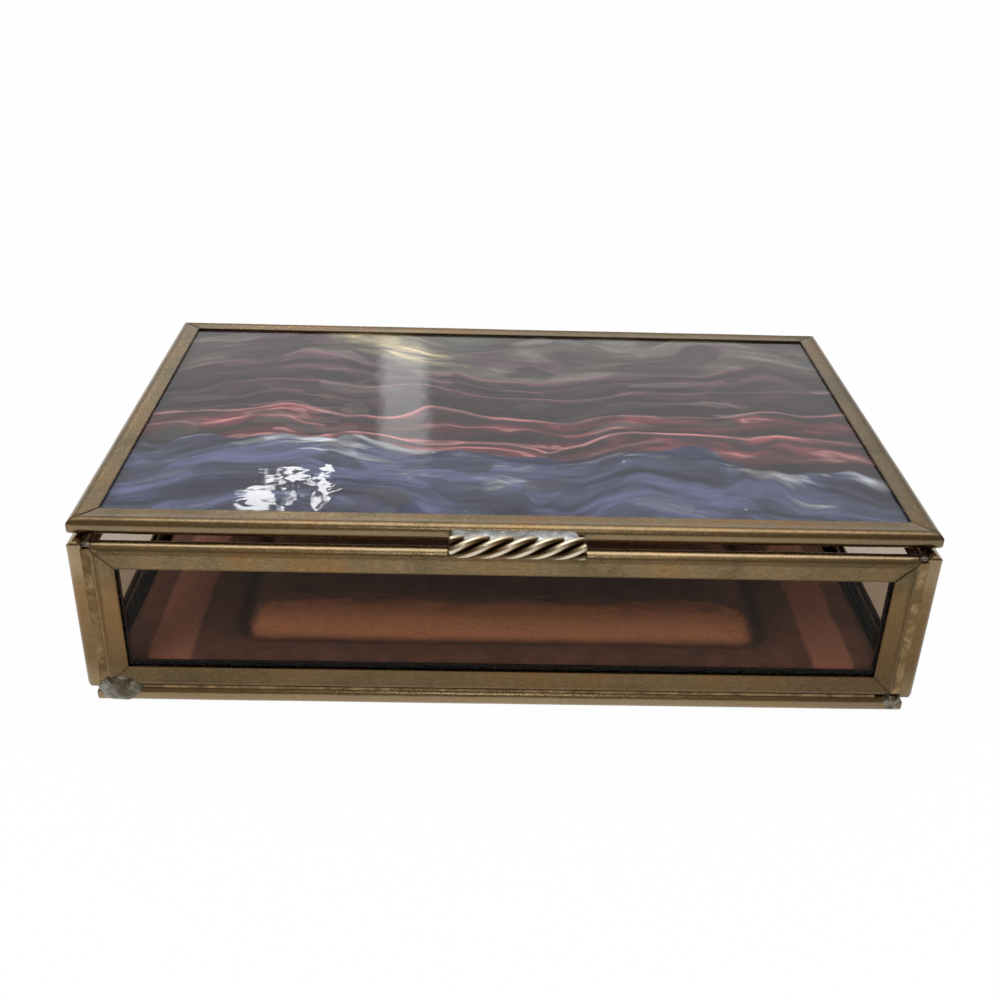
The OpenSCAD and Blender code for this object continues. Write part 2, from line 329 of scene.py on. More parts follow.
@dataclass(frozen=True)
class Brass:
    """Brass with an old brown and olive tarnish and painted light: a painted highlight along its crowns,
    partly polished wear, a painted reflection on the walls' upright stretch, and painted shade towards the
    bottom, under the lid's edge, between crown and flange and towards the right.

    The spans are in millimetres: heights for the walls' upright stretch, for the painted shade that fades
    upwards from the bottom and for the painted shade under the lid's edge, X for the painted shade towards the
    right, the way from the crown's top for the painted crown highlight, the painted shade between crown and
    flange and the lip, and the way from the mitre for the joint.
    """

    olive: Colour = (0.135, 0.098, 0.047)
    plain: Colour = (0.190, 0.132, 0.067)
    # A ruddy tone of some blotches, which is also the colour of the painted reflection on the walls' upright
    # stretch.
    orange_and_reflection: Colour = (0.225, 0.122, 0.046)
    # Polished streaks of wear, and the colour of the painted highlight along the crowns.
    rubbed_and_highlight: Colour = (0.480, 0.360, 0.215)
    # Colour of the wires' crests: polished wear and a painted highlight.
    crest: Colour = (0.740, 0.650, 0.500)
    # Dark brown of dirt flecks and dark joints, which is also the colour of the painted shade.
    grime_and_shade: Colour = (0.045, 0.026, 0.011)
    # Heights of the walls' upright stretch, which gets the painted reflection.
    walls: Span = (8.0, 27.0)
    # Heights over which the painted shade fades upwards from the bottom.
    foot: Span = (3.0, 26.0)
    # Heights of the painted shade on the lid's crown under its edge.
    lid_edge_shade: Span = (34.6, 37.2)
    # X over which the painted shade darkens the brass towards the right.
    shaded_side: Span = (30.0, 78.0)
    # Where the painted crown highlight lies, from the crown's top.
    crown: Span = (0.35, 1.35)
    # Where the painted shade between crown and flange lies, from the crown's top.
    crease_shade: Span = (1.25, 1.85)
    lip: Span = (4.35, 4.72)
    joint: Span = (0.0, 0.55)

    def material(self, form: Form) -> bpy.types.Material:
        """Builds the finish.

        Args:
            form: What the brass is made into.

        Returns:
            The material.
        """
        g = Graph.named("brass_" + form.value)
        p = g.points()
        blotch = g.noise(p, 0.07, 4, 0.62, 0.6)
        fleck = g.noise(p, 1.3, 3, 0.6)
        if form is Form.CAME:
            run = g.attribute("came").outputs["Vector"]
            lines = g.turn(run, (0.05, 2.6, 1.0))
        else:
            run = None
            lines = g.turn(p, (0.12, 5.0, 5.0))
        streak = g.noise(lines, 1.0, 4, 0.6)
        colour = g.ramp(blotch, (0.34, self.olive), (0.50, self.plain), (0.68, self.orange_and_reflection))
        colour = g.mix(g.rise(streak, 0.42, 0.72, 0, 0.22), colour, self.rubbed_and_highlight)
        # Dark flecks of dirt; painted shade is added to them below.
        dirt_and_shade = g.rise(fleck, 0.60, 0.80, 0, 0.25)
        x, _, height = g.split(p)
        # Painted shade: darker towards the bottom.
        low = g.rise(height, *self.foot, 0.45, 0)
        if form is Form.CAME:
            _, across, mitre = g.split(run)
            wander = g.calc("MULTIPLY_ADD", fleck, 0.5, g.calc("MULTIPLY_ADD", streak, 0.4, -0.45))
            edge = g.calc("ADD", across, wander)
            # The walls' upright stretch, which gets a weaker painted crown highlight and a painted reflection.
            upright = g.band(height, *self.walls, 3.0)
            # Painted highlight along the crown, partly polished wear.
            worn_and_highlight = g.calc("MULTIPLY_ADD", upright, -0.75, 1.0)
            worn_and_highlight = g.calc("MULTIPLY", g.rise(edge, *self.crown, 0.5, 0), worn_and_highlight)
            colour = g.mix(worn_and_highlight, colour, self.rubbed_and_highlight)
            # Painted reflection: the upright stretch is mixed towards the ruddy colour.
            colour = g.mix(g.calc("MULTIPLY", upright, 0.5), colour, self.orange_and_reflection)
            # Painted shade where the crown meets the flange.
            crease_shade = g.calc("MULTIPLY", g.band(edge, *self.crease_shade, 0.40), 0.5)
            for mark in (crease_shade, g.rise(edge, *self.lip, 0, 0.55), g.rise(mitre, *self.joint, 0.8, 0)):
                dirt_and_shade = g.calc("MAXIMUM", dirt_and_shade, mark)
            # Painted shade on the lid's crown, under its edge.
            lid_edge_shade = g.calc("MULTIPLY", g.band(height, *self.lid_edge_shade, 0.25), 0.35)
            # Painted shade towards the bottom, weaker on the crown's top, joined by the painted shade under
            # the lid's edge.
            low = g.calc("MAXIMUM", g.calc("MULTIPLY", low, g.rise(edge, 0.8, 1.8, 0.55, 1)), lid_edge_shade)
        if form is Form.WIRE:
            depth = g.attribute("groove").outputs["Fac"]
            # Tarnish and painted shade darken the grooves between the wires.
            dirt_and_shade = g.calc("MAXIMUM", dirt_and_shade, g.rise(depth, 0.15, 0.6, 0, 0.95))
            # Polished wear and a painted highlight brighten the wires' crests.
            colour = g.mix(g.rise(depth, 0.0, 0.25, 0.9, 0), colour, self.crest)
        # Dirt and painted shade darken the colour towards dark brown.
        colour = g.mix(g.calc("MAXIMUM", dirt_and_shade, low), colour, self.grime_and_shade)
        # Painted shade: darker towards the right.
        colour = g.tone(colour, g.rise(x, *self.shaded_side, 1.0, 0.75))
        rough = g.calc("MULTIPLY_ADD", fleck, 0.22, g.calc("MULTIPLY_ADD", dirt_and_shade, 0.20, 0.16))
        dents = g.bump(g.noise(p, 0.22, 2, 0.5), 0.10)
        relief = g.bump(g.calc("MULTIPLY_ADD", streak, 0.6, fleck), 0.007, dents)
        return g.finish(g.surface(colour, rough, relief, {"Metallic": 1.0}))


@dataclass(frozen=True)
class Solder:
    """Soft grey solder: smooth where it ran, dull and pitted where it froze."""

    name: str
    bright: Colour
    plain: Colour
    dull: Colour
    pitted: float = 0.6
    relief: float = 0.06

    def material(self) -> bpy.types.Material:
        """Builds the finish."""
        g = Graph.named(self.name)
        p = g.points()
        cloud = g.noise(p, 0.32, 4, 0.6, 0.8)
        pits = g.noise(p, 2.4, 3, 0.6)
        colour = g.ramp(cloud, (0.36, self.dull), (0.52, self.plain), (0.70, self.bright))
        colour = g.mix(g.rise(pits, 0.58, 0.72, 0, self.pitted), colour, self.dull)
        rough = g.calc("MULTIPLY_ADD", pits, 0.35, g.rise(cloud, 0.35, 0.7, 0.22, 0.04))
        relief = g.bump(g.calc("MULTIPLY_ADD", cloud, 2.0, pits), self.relief)
        return g.finish(g.surface(colour, rough, relief, {"Metallic": 1.0}))


BRIGHT_SOLDER = Solder("bright_solder", bright=(0.40, 0.41, 0.41), plain=(0.27, 0.27, 0.265),
                       dull=(0.16, 0.15, 0.13), pitted=0.2, relief=0.02)
DULL_SOLDER = Solder("dull_solder", bright=(0.33, 0.31, 0.27), plain=(0.19, 0.17, 0.14),
                     dull=(0.09, 0.075, 0.05))
TARNISHED_SOLDER = Solder("tarnished_solder", bright=(0.29, 0.20, 0.10), plain=(0.19, 0.125, 0.058),
                          dull=(0.12, 0.075, 0.032), pitted=0.3, relief=0.02)


@dataclass(frozen=True)
class ClearGlass:
    """Sheet glass, faintly wavy and a little smoky, which lets the lamps' light through."""

    name: str = "clear_glass"
    ior: float = 1.18
    wave: float = 0.02
    wave_scale: float = 0.05
    tint: Colour = (0.50, 0.42, 0.345)
    shade: Colour = (0.99, 0.985, 0.98)

    def material(self) -> bpy.types.Material:
        """Builds the finish."""
        g = Graph.named(self.name)
        p = g.points()
        wave = g.bump(g.noise(p, self.wave_scale, 3, 0.5, 0.4), self.wave)
        glass = g.surface(self.tint, 0.0, wave, {"IOR": self.ior, "Transmission Weight": 1.0})
        clear = g.add("BsdfTransparent", {"Color": self.shade})
        shadow = g.add("LightPath").outputs["Is Shadow Ray"]
        return g.finish(g.blend(shadow, glass, clear))


@dataclass(frozen=True)
class Canvas:
    """What a picture is painted on: its node tree and the painter's wandering coordinates."""

    g: Graph
    spot: Socket
    x: Socket
    y: Socket


@dataclass(frozen=True)
class Hill:
    """One hill of a picture.

    Attributes:
        crest: The mean place of its crest, in millimetres.
        sway: How far the crest rises and falls.
        pace: How fast it does so.
        seed: Where in the noise the hill lies.
        body: Its colour.
        lit: How much of the pink light its crest catches.
    """

    crest: float
    sway: float
    pace: float
    seed: float
    body: Colour
    lit: float


@dataclass(frozen=True)
class Picture:
    """A generic printed view: a slate lake, dusty red hills with pink crests, and a warm grey sky."""

    sky: Colour = (0.230, 0.195, 0.165)
    haze: Colour = (0.400, 0.375, 0.350)
    glow: Colour = (0.900, 0.780, 0.480)
    mauve: Colour = (0.170, 0.085, 0.120)
    umber: Colour = (0.080, 0.032, 0.042)
    red: Colour = (0.310, 0.055, 0.070)
    rose: Colour = (0.370, 0.090, 0.110)
    pink: Colour = (0.850, 0.430, 0.430)
    slate: Colour = (0.034, 0.040, 0.125)
    steel: Colour = (0.170, 0.190, 0.360)
    foam: Colour = (0.760, 0.780, 0.800)

    def material(self) -> bpy.types.Material:
        """Builds the finish."""
        g = Graph.named("lid_picture")
        p = g.points()
        sweep = self.wander(g, p, 0.016, 46.0, 2)
        moved = self.wander(g, sweep, 0.07, 6.0, 2)
        canvas = Canvas(g, moved, *g.split(moved)[:2])
        colour = self.sky_colour(canvas)
        hills = (
            Hill(29.0, 8.0, 0.028, 3.0, self.mauve, 0.35),
            Hill(17.0, 10.0, 0.020, 17.0, self.umber, 0.30),
            Hill(4.0, 15.0, 0.022, 41.0, self.red, 0.85),
            Hill(-11.0, 12.0, 0.028, 63.0, self.rose, 1.0),
        )
        for hill in hills:
            colour = self.hill(canvas, colour, hill)
        colour = self.water(canvas, colour)
        dabs = {"Vector": g.turn(moved, (0.10, 0.24, 1.0), 24), "Scale": 1.0, "Smoothness": 0.30}
        dab, tint, _ = g.split(g.add("TexVoronoi", dabs, feature="SMOOTH_F1").outputs["Color"])
        colour = g.mix(g.rise(tint, 0.74, 0.95, 0, 0.25), colour, self.haze)
        colour = g.tone(colour, g.rise(dab, 0.15, 0.85, 0.62, 1.42))
        stroke = g.noise(g.turn(moved, (0.09, 0.50, 1.0), 24), 1.0, 4, 0.65)
        colour = g.tone(colour, g.rise(stroke, 0.32, 0.68, 0.52, 0.98))
        return g.finish(g.surface(colour, 0.5, g.bump(stroke, 0.03)))

    def wander(self, g: Graph, vector: Socket, scale: float, reach: float, detail: float) -> Socket:
        """Lets coordinates wander in the plane, as a brush does.

        Args:
            g: The material's node tree.
            vector: The coordinates.
            scale: How many wanderings lie in a millimetre.
            reach: How far they go, in millimetres.
            detail: The number of finer layers.

        Returns:
            The wandering coordinates.
        """
        drift = g.add("TexNoise", {"Vector": vector, "Scale": scale, "Detail": detail}).outputs["Color"]
        centred = g.add("VectorMath", {0: drift, 1: (0.5, 0.5, 0.5)}, operation="SUBTRACT").outputs[0]
        inputs = {0: centred, 1: (reach, reach, 0.0), 2: vector}
        return g.add("VectorMath", inputs, operation="MULTIPLY_ADD").outputs[0]

    def sky_colour(self, canvas: Canvas) -> Socket:
        """Paints the sky behind the hills.

        Args:
            canvas: What it is painted on.

        Returns:
            The colour.
        """
        g = canvas.g
        cloud = g.noise(g.turn(canvas.spot, (0.03, 0.10, 1.0)), 1.0, 4, 0.6, 0.5)
        colour = g.ramp(cloud, (0.36, self.mauve), (0.47, self.sky), (0.62, self.haze))
        spread = g.join(canvas.x, g.calc("MULTIPLY", canvas.y, 1.6), 0.0)
        far = g.add("VectorMath", {0: spread, 1: (-26.0, 60.0, 0.0)}, operation="DISTANCE").outputs["Value"]
        spot = g.calc("MULTIPLY", g.rise(far, 4.0, 22.0, 1, 0), g.rise(cloud, 0.40, 0.56))
        return g.mix(spot, colour, self.glow)

    def hill(self, canvas: Canvas, behind: Socket, hill: Hill) -> Socket:
        """Paints one hill in front of what is behind it.

        Args:
            canvas: What it is painted on.
            behind: The colour behind the hill.
            hill: The hill.

        Returns:
            The colour.
        """
        g = canvas.g
        along = g.calc("MULTIPLY_ADD", canvas.x, hill.pace, hill.seed)
        swell = g.noise(g.join(along, hill.seed, 0.0), 1.0, 2, 0.5)
        crest = g.calc("MULTIPLY_ADD", swell, 2 * hill.sway, hill.crest - hill.sway)
        down = g.calc("SUBTRACT", crest, canvas.y)
        fold = g.noise(g.turn(canvas.spot, (0.030, 0.085, 1.0), -12), 1.0, 3, 0.55)
        level = g.calc("MULTIPLY_ADD", fold, 24.0, down)
        comb = g.calc("SINE", g.calc("MULTIPLY", level, 0.72))
        streaks = g.calc("MULTIPLY", g.rise(comb, 0.70, 1.0), g.rise(fold, 0.44, 0.56))
        light = g.calc("MAXIMUM", g.calc("MULTIPLY", streaks, 0.8), g.rise(down, 0.2, 1.6, 1, 0))
        shade = g.rise(down, 0.0, 12.0, 1.25, 0.60)
        colour = g.tone(g.mix(g.rise(comb, -0.9, 0.8), self.umber, hill.body), shade)
        colour = g.mix(g.calc("MULTIPLY", light, hill.lit), colour, self.pink)
        return g.mix(g.rise(down, -0.5, 0.5), behind, colour)

    def water(self, canvas: Canvas, behind: Socket) -> Socket:
        """Paints the lake in front of the hills, with foam and glints.

        Args:
            canvas: What it is painted on.
            behind: The colour behind the lake.

        Returns:
            The colour.
        """
        g = canvas.g
        coast = g.noise(g.join(g.calc("MULTIPLY", canvas.x, 0.030), 5.0, 0.0), 1.0, 3)
        shore = g.calc("MULTIPLY_ADD", coast, 34.0, g.calc("MULTIPLY_ADD", canvas.x, -0.10, -33.0))
        near = g.calc("SUBTRACT", shore, canvas.y)
        swell = g.noise(g.turn(canvas.spot, (0.022, 0.13, 1.0), 6), 1.0, 4, 0.62, 0.3)
        colour = g.ramp(swell, (0.38, self.slate), (0.52, self.steel), (0.60, self.steel), (0.68, self.foam))
        wash = g.calc("MULTIPLY", g.band(near, 0.3, 2.6, 0.8), g.rise(swell, 0.42, 0.52))
        colour = g.mix(g.calc("MULTIPLY", wash, 0.9), colour, self.foam)
        cells = g.add("TexVoronoi", {"Vector": canvas.spot, "Scale": 0.16}).outputs["Distance"]
        colour = g.mix(g.rise(cells, 0.03, 0.07, 0.9, 0), colour, self.foam)
        return g.mix(g.rise(near, -0.4, 0.6), behind, colour)


@dataclass(frozen=True)
class Card:
    """Brown pulp board with short fibres."""

    name: str = "card"
    light: Colour = (0.105, 0.066, 0.040)
    dark: Colour = (0.048, 0.030, 0.019)

    def material(self) -> bpy.types.Material:
        """Builds the finish."""
        g = Graph.named(self.name)
        p = g.points()
        fibre = g.noise(g.turn(p, (0.5, 3.2, 3.2), 20), 1.0, 4, 0.7, 1.2)
        cross = g.noise(g.turn(p, (3.2, 0.5, 3.2), -35), 1.0, 4, 0.7, 1.2)
        pulp = g.calc("MULTIPLY", g.calc("ADD", fibre, cross), 0.5)
        stain = g.noise(p, 0.05, 3, 0.6)
        colour = g.mix(g.rise(pulp, 0.38, 0.62), self.dark, self.light)
        colour = g.tone(colour, g.rise(stain, 0.3, 0.7, 0.75, 1.15))
        return g.finish(g.surface(colour, 0.88, g.bump(pulp, 0.05)))


@dataclass(frozen=True)
class Velvet:
    """Dark red-brown velvet, with a painted pool of light, painted light at the sides and painted shade along
    the stitched groove where the pad's attributes say so.
    """

    deep: Colour = (0.180, 0.092, 0.068)
    pile: Colour = (0.260, 0.128, 0.098)
    # Colour of the painted pool of light on the field's front slope.
    painted_light_band: Colour = (0.880, 0.410, 0.230)
    # Colour of the painted light on the border at each side.
    painted_side_light: Colour = (0.600, 0.280, 0.210)
    sheen: Colour = (0.62, 0.34, 0.28)

    def material(self) -> bpy.types.Material:
        """Builds the finish."""
        g = Graph.named("velvet")
        p = g.points()
        nap = g.noise(p, 0.14, 4, 0.6, 0.7)
        tuft = g.noise(p, 1.5, 3, 0.7)
        band_edge_noise = g.noise(g.turn(p, (0.10, 0.42, 1.0)), 1.0, 4, 0.65, 0.6)
        # Painted pool of light on the field's front slope, with a ragged edge.
        painted_light_band = g.attribute("painted_light_band").outputs["Fac"]
        painted_side_light = g.attribute("painted_side_light").outputs["Fac"]
        colour = g.mix(g.rise(nap, 0.36, 0.66), self.deep, self.pile)
        ragged_light_band = g.calc("MULTIPLY_ADD", g.calc("SUBTRACT", band_edge_noise, 0.5), 1.3, painted_light_band)
        colour = g.mix(g.rise(ragged_light_band, 0.1, 1.05), colour, self.painted_light_band)
        # Painted light on the border at each side, clouded by the nap.
        cloudy_side_light = g.calc("MULTIPLY_ADD", g.calc("SUBTRACT", nap, 0.5), 0.8, painted_side_light)
        colour = g.mix(g.rise(cloudy_side_light, 0.2, 0.8), colour, self.painted_side_light)
        colour = g.tone(colour, g.rise(tuft, 0.3, 0.7, 0.86, 1.12))
        # Painted shade along the stitched groove.
        sewn = g.attribute("sewn").outputs["Fac"]
        colour = g.tone(colour, g.rise(sewn, 0.0, 1.0, 1.0, 0.30))
        sheen = {"Sheen Weight": 0.35, "Sheen Roughness": 0.45, "Sheen Tint": self.sheen}
        return g.finish(g.surface(colour, 0.92, g.bump(tuft, 0.05), sheen))


# ---- Modelling: Blender's operators on one piece at a time --------------------------------------


class Bench:
    """The modelling operators, each used on the one piece that is on the bench."""

    @staticmethod
    def clear() -> None:
        """Deselects everything, the CAD nodes among it."""
        for each in bpy.context.view_layer.objects:
            each.select_set(False)
        bpy.context.view_layer.objects.active = None

    @staticmethod
    def take(piece: Object, name: str | None = None) -> Object:
        """Puts one piece alone on the bench.

        Args:
            piece: The piece.
            name: Its new name, if it gets one.

        Returns:
            The same piece.
        """
        Bench.clear()
        piece.select_set(True)
        bpy.context.view_layer.objects.active = piece
        if name:
            piece.name = name
            piece.data.name = name
        return piece

    @staticmethod
    def edit(piece: Object) -> None:
        """Opens the piece in edit mode."""
        Bench.take(piece)
        bpy.ops.object.mode_set(mode="EDIT")

    @staticmethod
    def close() -> None:
        """Leaves edit mode."""
        bpy.ops.object.mode_set(mode="OBJECT")

    @staticmethod
    def pick(piece: Object, kind: str, test: Callable[[object], bool]) -> int:
        """Selects, in edit mode, the elements that pass a test.

        Args:
            piece: The piece in edit mode.
            kind: VERT, EDGE or FACE.
            test: Whether an element is wanted.

        Returns:
            How many were selected.
        """
        bpy.ops.mesh.select_mode(type=kind)
        bpy.ops.mesh.select_all(action="DESELECT")
        mesh = bmesh.from_edit_mesh(piece.data)
        parts = {"VERT": mesh.verts, "EDGE": mesh.edges, "FACE": mesh.faces}[kind]
        found = 0
        for part in parts:
            if test(part):
                part.select = True
                found += 1
        mesh.select_flush_mode()
        bmesh.update_edit_mesh(piece.data)
        return found

    @staticmethod
    def extrude(move: Triple) -> None:
        """Extrudes what is selected by a move."""
        bpy.ops.mesh.extrude_region_move(TRANSFORM_OT_translate={"value": move})

    @staticmethod
    def bisect(point: Vector | Triple, normal: Vector) -> None:
        """Cuts off what lies beyond a plane, on the side its normal points to, and closes the cut.

        Args:
            point: A point of the plane.
            normal: Its normal.
        """
        bpy.ops.mesh.select_all(action="SELECT")
        bpy.ops.mesh.bisect(plane_co=tuple(point), plane_no=tuple(normal), use_fill=True,
                            clear_outer=True, threshold=TINY)

    @staticmethod
    def modify(piece: Object, kind: str, **settings: object) -> None:
        """Adds one modifier to a piece and applies it.

        Args:
            piece: The piece.
            kind: The modifier's type.
            settings: Its settings.
        """
        Bench.take(piece)
        modifier = piece.modifiers.new(kind.lower(), kind)
        for key, value in settings.items():
            setattr(modifier, key, value)
        bpy.ops.object.modifier_apply(modifier=modifier.name)

    @staticmethod
    def bevel(piece: Object, width: float) -> None:
        """Rounds a piece's edges, those between faces that turn by more than 50 degrees."""
        settings = {"limit_method": "ANGLE", "angle_limit": math.radians(50)}
        Bench.modify(piece, "BEVEL", width=width, segments=2, **settings)

    @staticmethod
    def smooth(piece: Object, degrees: float = 38.0) -> None:
        """Shades a piece smooth up to an angle between its faces."""
        Bench.take(piece)
        bpy.ops.object.shade_smooth_by_angle(angle=math.radians(degrees))

    @staticmethod
    def apply(piece: Object, matrix: Matrix | None = None) -> Object:
        """Puts a piece at its place, and the place into its mesh.

        Args:
            piece: The piece.
            matrix: The move to its place, if it isn't there yet.

        Returns:
            The same piece.
        """
        Bench.take(piece)
        if matrix is not None:
            piece.matrix_world = matrix @ piece.matrix_world
        bpy.ops.object.transform_apply(location=True, rotation=True, scale=True)
        return piece

    @staticmethod
    def copy(piece: Object, name: str) -> Object:
        """Copies a piece with its mesh.

        Args:
            piece: The piece.
            name: The copy's name.

        Returns:
            The copy.
        """
        twin = piece.copy()
        twin.data = piece.data.copy()
        twin.name = twin.data.name = name
        bpy.context.scene.collection.objects.link(twin)
        return twin

    @staticmethod
    def weld(piece: Object) -> None:
        """Merges doubles and turns every face outwards.

        Args:
            piece: The piece.
        """
        Bench.edit(piece)
        bpy.ops.mesh.select_all(action="SELECT")
        bpy.ops.mesh.remove_doubles(threshold=TINY)
        bpy.ops.mesh.normals_make_consistent(inside=False)
        Bench.close()

    @staticmethod
    def join(pieces: Iterable[Object], name: str) -> Object:
        """Joins pieces into one.

        Args:
            pieces: The pieces.
            name: The name of the one.

        Returns:
            The joined piece.
        """
        group = list(pieces)
        Bench.take(group[0])
        for each in group:
            each.select_set(True)
        bpy.ops.object.join()
        return Bench.take(group[0], name)

    @staticmethod
    def bar(name: str, size: Triple, axis: int, cuts: int) -> Object:
        """Models a box about the origin, cut into short lengths.

        Args:
            name: Its name.
            size: Its size.
            axis: The axis that it is cut across, by number.
            cuts: How many cuts it gets.

        Returns:
            The box.
        """
        Bench.clear()
        bpy.ops.mesh.primitive_cube_add(size=1)
        piece = Bench.take(bpy.context.object, name)
        piece.dimensions = size
        Bench.apply(piece)
        Bench.edit(piece)
        Bench.pick(piece, "EDGE", lambda e: abs(e.verts[0].co[axis] - e.verts[1].co[axis]) > size[axis] / 2)
        bpy.ops.mesh.subdivide(number_cuts=cuts)
        Bench.close()
        return piece

    @staticmethod
    def displace(piece: Object, grain: float, strength: float, level: float = 1.0) -> None:
        """Gives a piece dents or lumps from a cloud texture.

        Args:
            piece: The piece.
            grain: The size of the dents.
            strength: Their depth.
            level: The texture's value that moves nothing. At 1 the piece only gets dents.
        """
        texture = bpy.data.textures.new(piece.name + "_grain", "CLOUDS")
        texture.noise_scale = grain
        texture.noise_depth = 2
        Bench.modify(piece, "DISPLACE", texture=texture, strength=strength, mid_level=level,
                     texture_coords="LOCAL")


TO_METRES = Matrix.Scale(MM, 4)


@dataclass(frozen=True)
class Space:
    """The box that some CAD nodes fill, in millimetres."""

    low: Vector
    high: Vector

    @staticmethod
    def of(*nodes: str) -> "Space":
        """Measures the space of one or more nodes.

        Args:
            nodes: The nodes' names.

        Returns:
            Their space.
        """
        boxes = [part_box(node) for node in nodes]
        low = Vector([min(box[0][k] for box in boxes) for k in range(3)]) / MM
        high = Vector([max(box[1][k] for box in boxes) for k in range(3)]) / MM
        return Space(low, high)

    @property
    def size(self) -> Vector:
        """Its size along each axis."""
        return self.high - self.low

    @property
    def centre(self) -> Vector:
        """Its middle."""
        return (self.low + self.high) / 2


def place(piece: Object, body: str, slot: str, material: bpy.types.Material, *nodes: str) -> Object:
    """Dresses a finished piece and hangs it on its body.

    Args:
        piece: The piece, in its place.
        body: The CAD body that it rides on.
        slot: The record's material slot; not used.
        material: Its material.
        nodes: The CAD nodes that it stands for.

    Returns:
        The piece.
    """
    piece.data.materials.clear()
    piece.data.materials.append(material)
    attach(piece, body)
    if nodes:
        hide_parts(*nodes)
    LOG.info("%s: %d faces on %s", piece.name, len(piece.data.polygons), body)
    return piece


def dress(node: Object, material: bpy.types.Material) -> None:
    """Gives a CAD node that stays its material.

    Args:
        node: The node's object.
        material: The material.
    """
    node.data.materials.clear()
    node.data.materials.append(material)
    LOG.info("%s keeps its CAD form", node.name)


# ---- The frames ---------------------------------------------------------------------------------


class Plane(Enum):
    """How a pane lies. The matrix turns a pane drawn in XY, its width along X, to that."""

    LEVEL = Matrix.Identity(4)
    FRONTAL = Matrix(((1, 0, 0, 0), (0, 0, -1, 0), (0, 1, 0, 0), (0, 0, 0, 1)))
    SIDEWAYS = Matrix(((0, 0, 1, 0), (1, 0, 0, 0), (0, 1, 0, 0), (0, 0, 0, 1)))


@dataclass
class Came:
    """One length of folded brass channel: a rounded crown, two flanges and an open side.

    Its profile runs from the crown to the open side in steps, each a share of the flat way and of the pinch.
    """

    length: float
    height: float = 4.75
    crown: float = 1.7
    wall: float = 0.5
    pinch: float = 0.13
    profile: tuple[Span, ...] = ((0.08, 0.5), (0.08, 1.0), (0.42, 1.0), (0.34, 0.85), (0.08, 1.0))
    corner: float = 0.9
    corner_angles: tuple[int, ...] = (45, 27, 9)
    step: float = 3.0
    dent: float = 0.10
    dent_size: float = 16.0
    bevel: float = 0.07

    def build(self, name: str) -> Object:
        """Models the came along +X, its crown at y = 0 and its ends mitred.

        Args:
            name: The piece's name.

        Returns:
            The piece, in millimetres.
        """
        Bench.clear()
        bpy.ops.mesh.primitive_circle_add(vertices=32, radius=self.crown, location=(0, self.crown, 0),
                                          rotation=(0, math.pi / 2, 0))
        piece = Bench.apply(Bench.take(bpy.context.object, name))
        Bench.edit(piece)
        Bench.pick(piece, "VERT", lambda v: v.co.y > self.crown + TINY)
        bpy.ops.mesh.delete(type="VERT")
        reach, half = self.crown, self.crown
        flat = self.height - self.crown
        for share, target in self.profile:
            Bench.pick(piece, "VERT", lambda v: v.co.y > reach - TINY)
            Bench.extrude((0, share * flat, 0))
            reach += share * flat
            thick = self.crown - target * self.pinch
            bpy.ops.transform.resize(value=(1, 1, thick / half), center_override=(0, reach, 0))
            half = thick
        bpy.ops.mesh.select_all(action="SELECT")
        Bench.extrude((self.length, 0, 0))
        Bench.pick(piece, "EDGE", lambda e: abs(e.verts[0].co.x - e.verts[1].co.x) > self.length / 2)
        bpy.ops.mesh.subdivide(number_cuts=max(4, round(self.length / self.step)))
        bpy.ops.mesh.select_all(action="SELECT")
        bpy.ops.mesh.normals_make_consistent(inside=False)
        Bench.close()
        self.face_outwards(piece)
        Bench.displace(piece, self.dent_size, self.dent)
        Bench.modify(piece, "SOLIDIFY", thickness=self.wall, offset=-1.0, use_even_offset=True)
        self.mitre(piece)
        Bench.bevel(piece, self.bevel)
        self.mark(piece)
        Bench.smooth(piece)
        return piece

    def face_outwards(self, piece: Object) -> None:
        """Turns the open shell so that its crown faces away from the pane.

        Args:
            piece: The shell.
        """
        crown = min(piece.data.polygons, key=lambda f: f.center.y)
        if crown.normal.y > 0:
            Bench.edit(piece)
            bpy.ops.mesh.select_all(action="SELECT")
            bpy.ops.mesh.flip_normals()
            Bench.close()

    def mitre(self, piece: Object) -> None:
        """Cuts both ends at 45 degrees and files the outer corner round.

        Args:
            piece: The came.
        """
        Bench.edit(piece)
        for end, way in ((0.0, -1.0), (self.length, 1.0)):
            Bench.bisect((end, 0, 0), Vector((way, 1, 0)).normalized())
            for degrees in self.corner_angles:
                angle = math.radians(degrees)
                normal = Vector((way * math.sin(angle), -math.cos(angle), 0))
                centre = Vector((end - way * self.corner, self.corner, 0))
                Bench.bisect(centre + normal * self.corner, normal)
        Bench.close()

    def mark(self, piece: Object) -> None:
        """Stores each point's place along, across and from the mitre, for the tarnish, the painted crown
        highlight and the painted shade.

        Args:
            piece: The came.
        """
        places = piece.data.attributes.new("came", "FLOAT_VECTOR", "POINT")
        for point, mark in zip(piece.data.vertices, places.data):
            x, y, _ = point.co
            mark.vector = (x, y, max(0.0, min(x, self.length - x) - y))


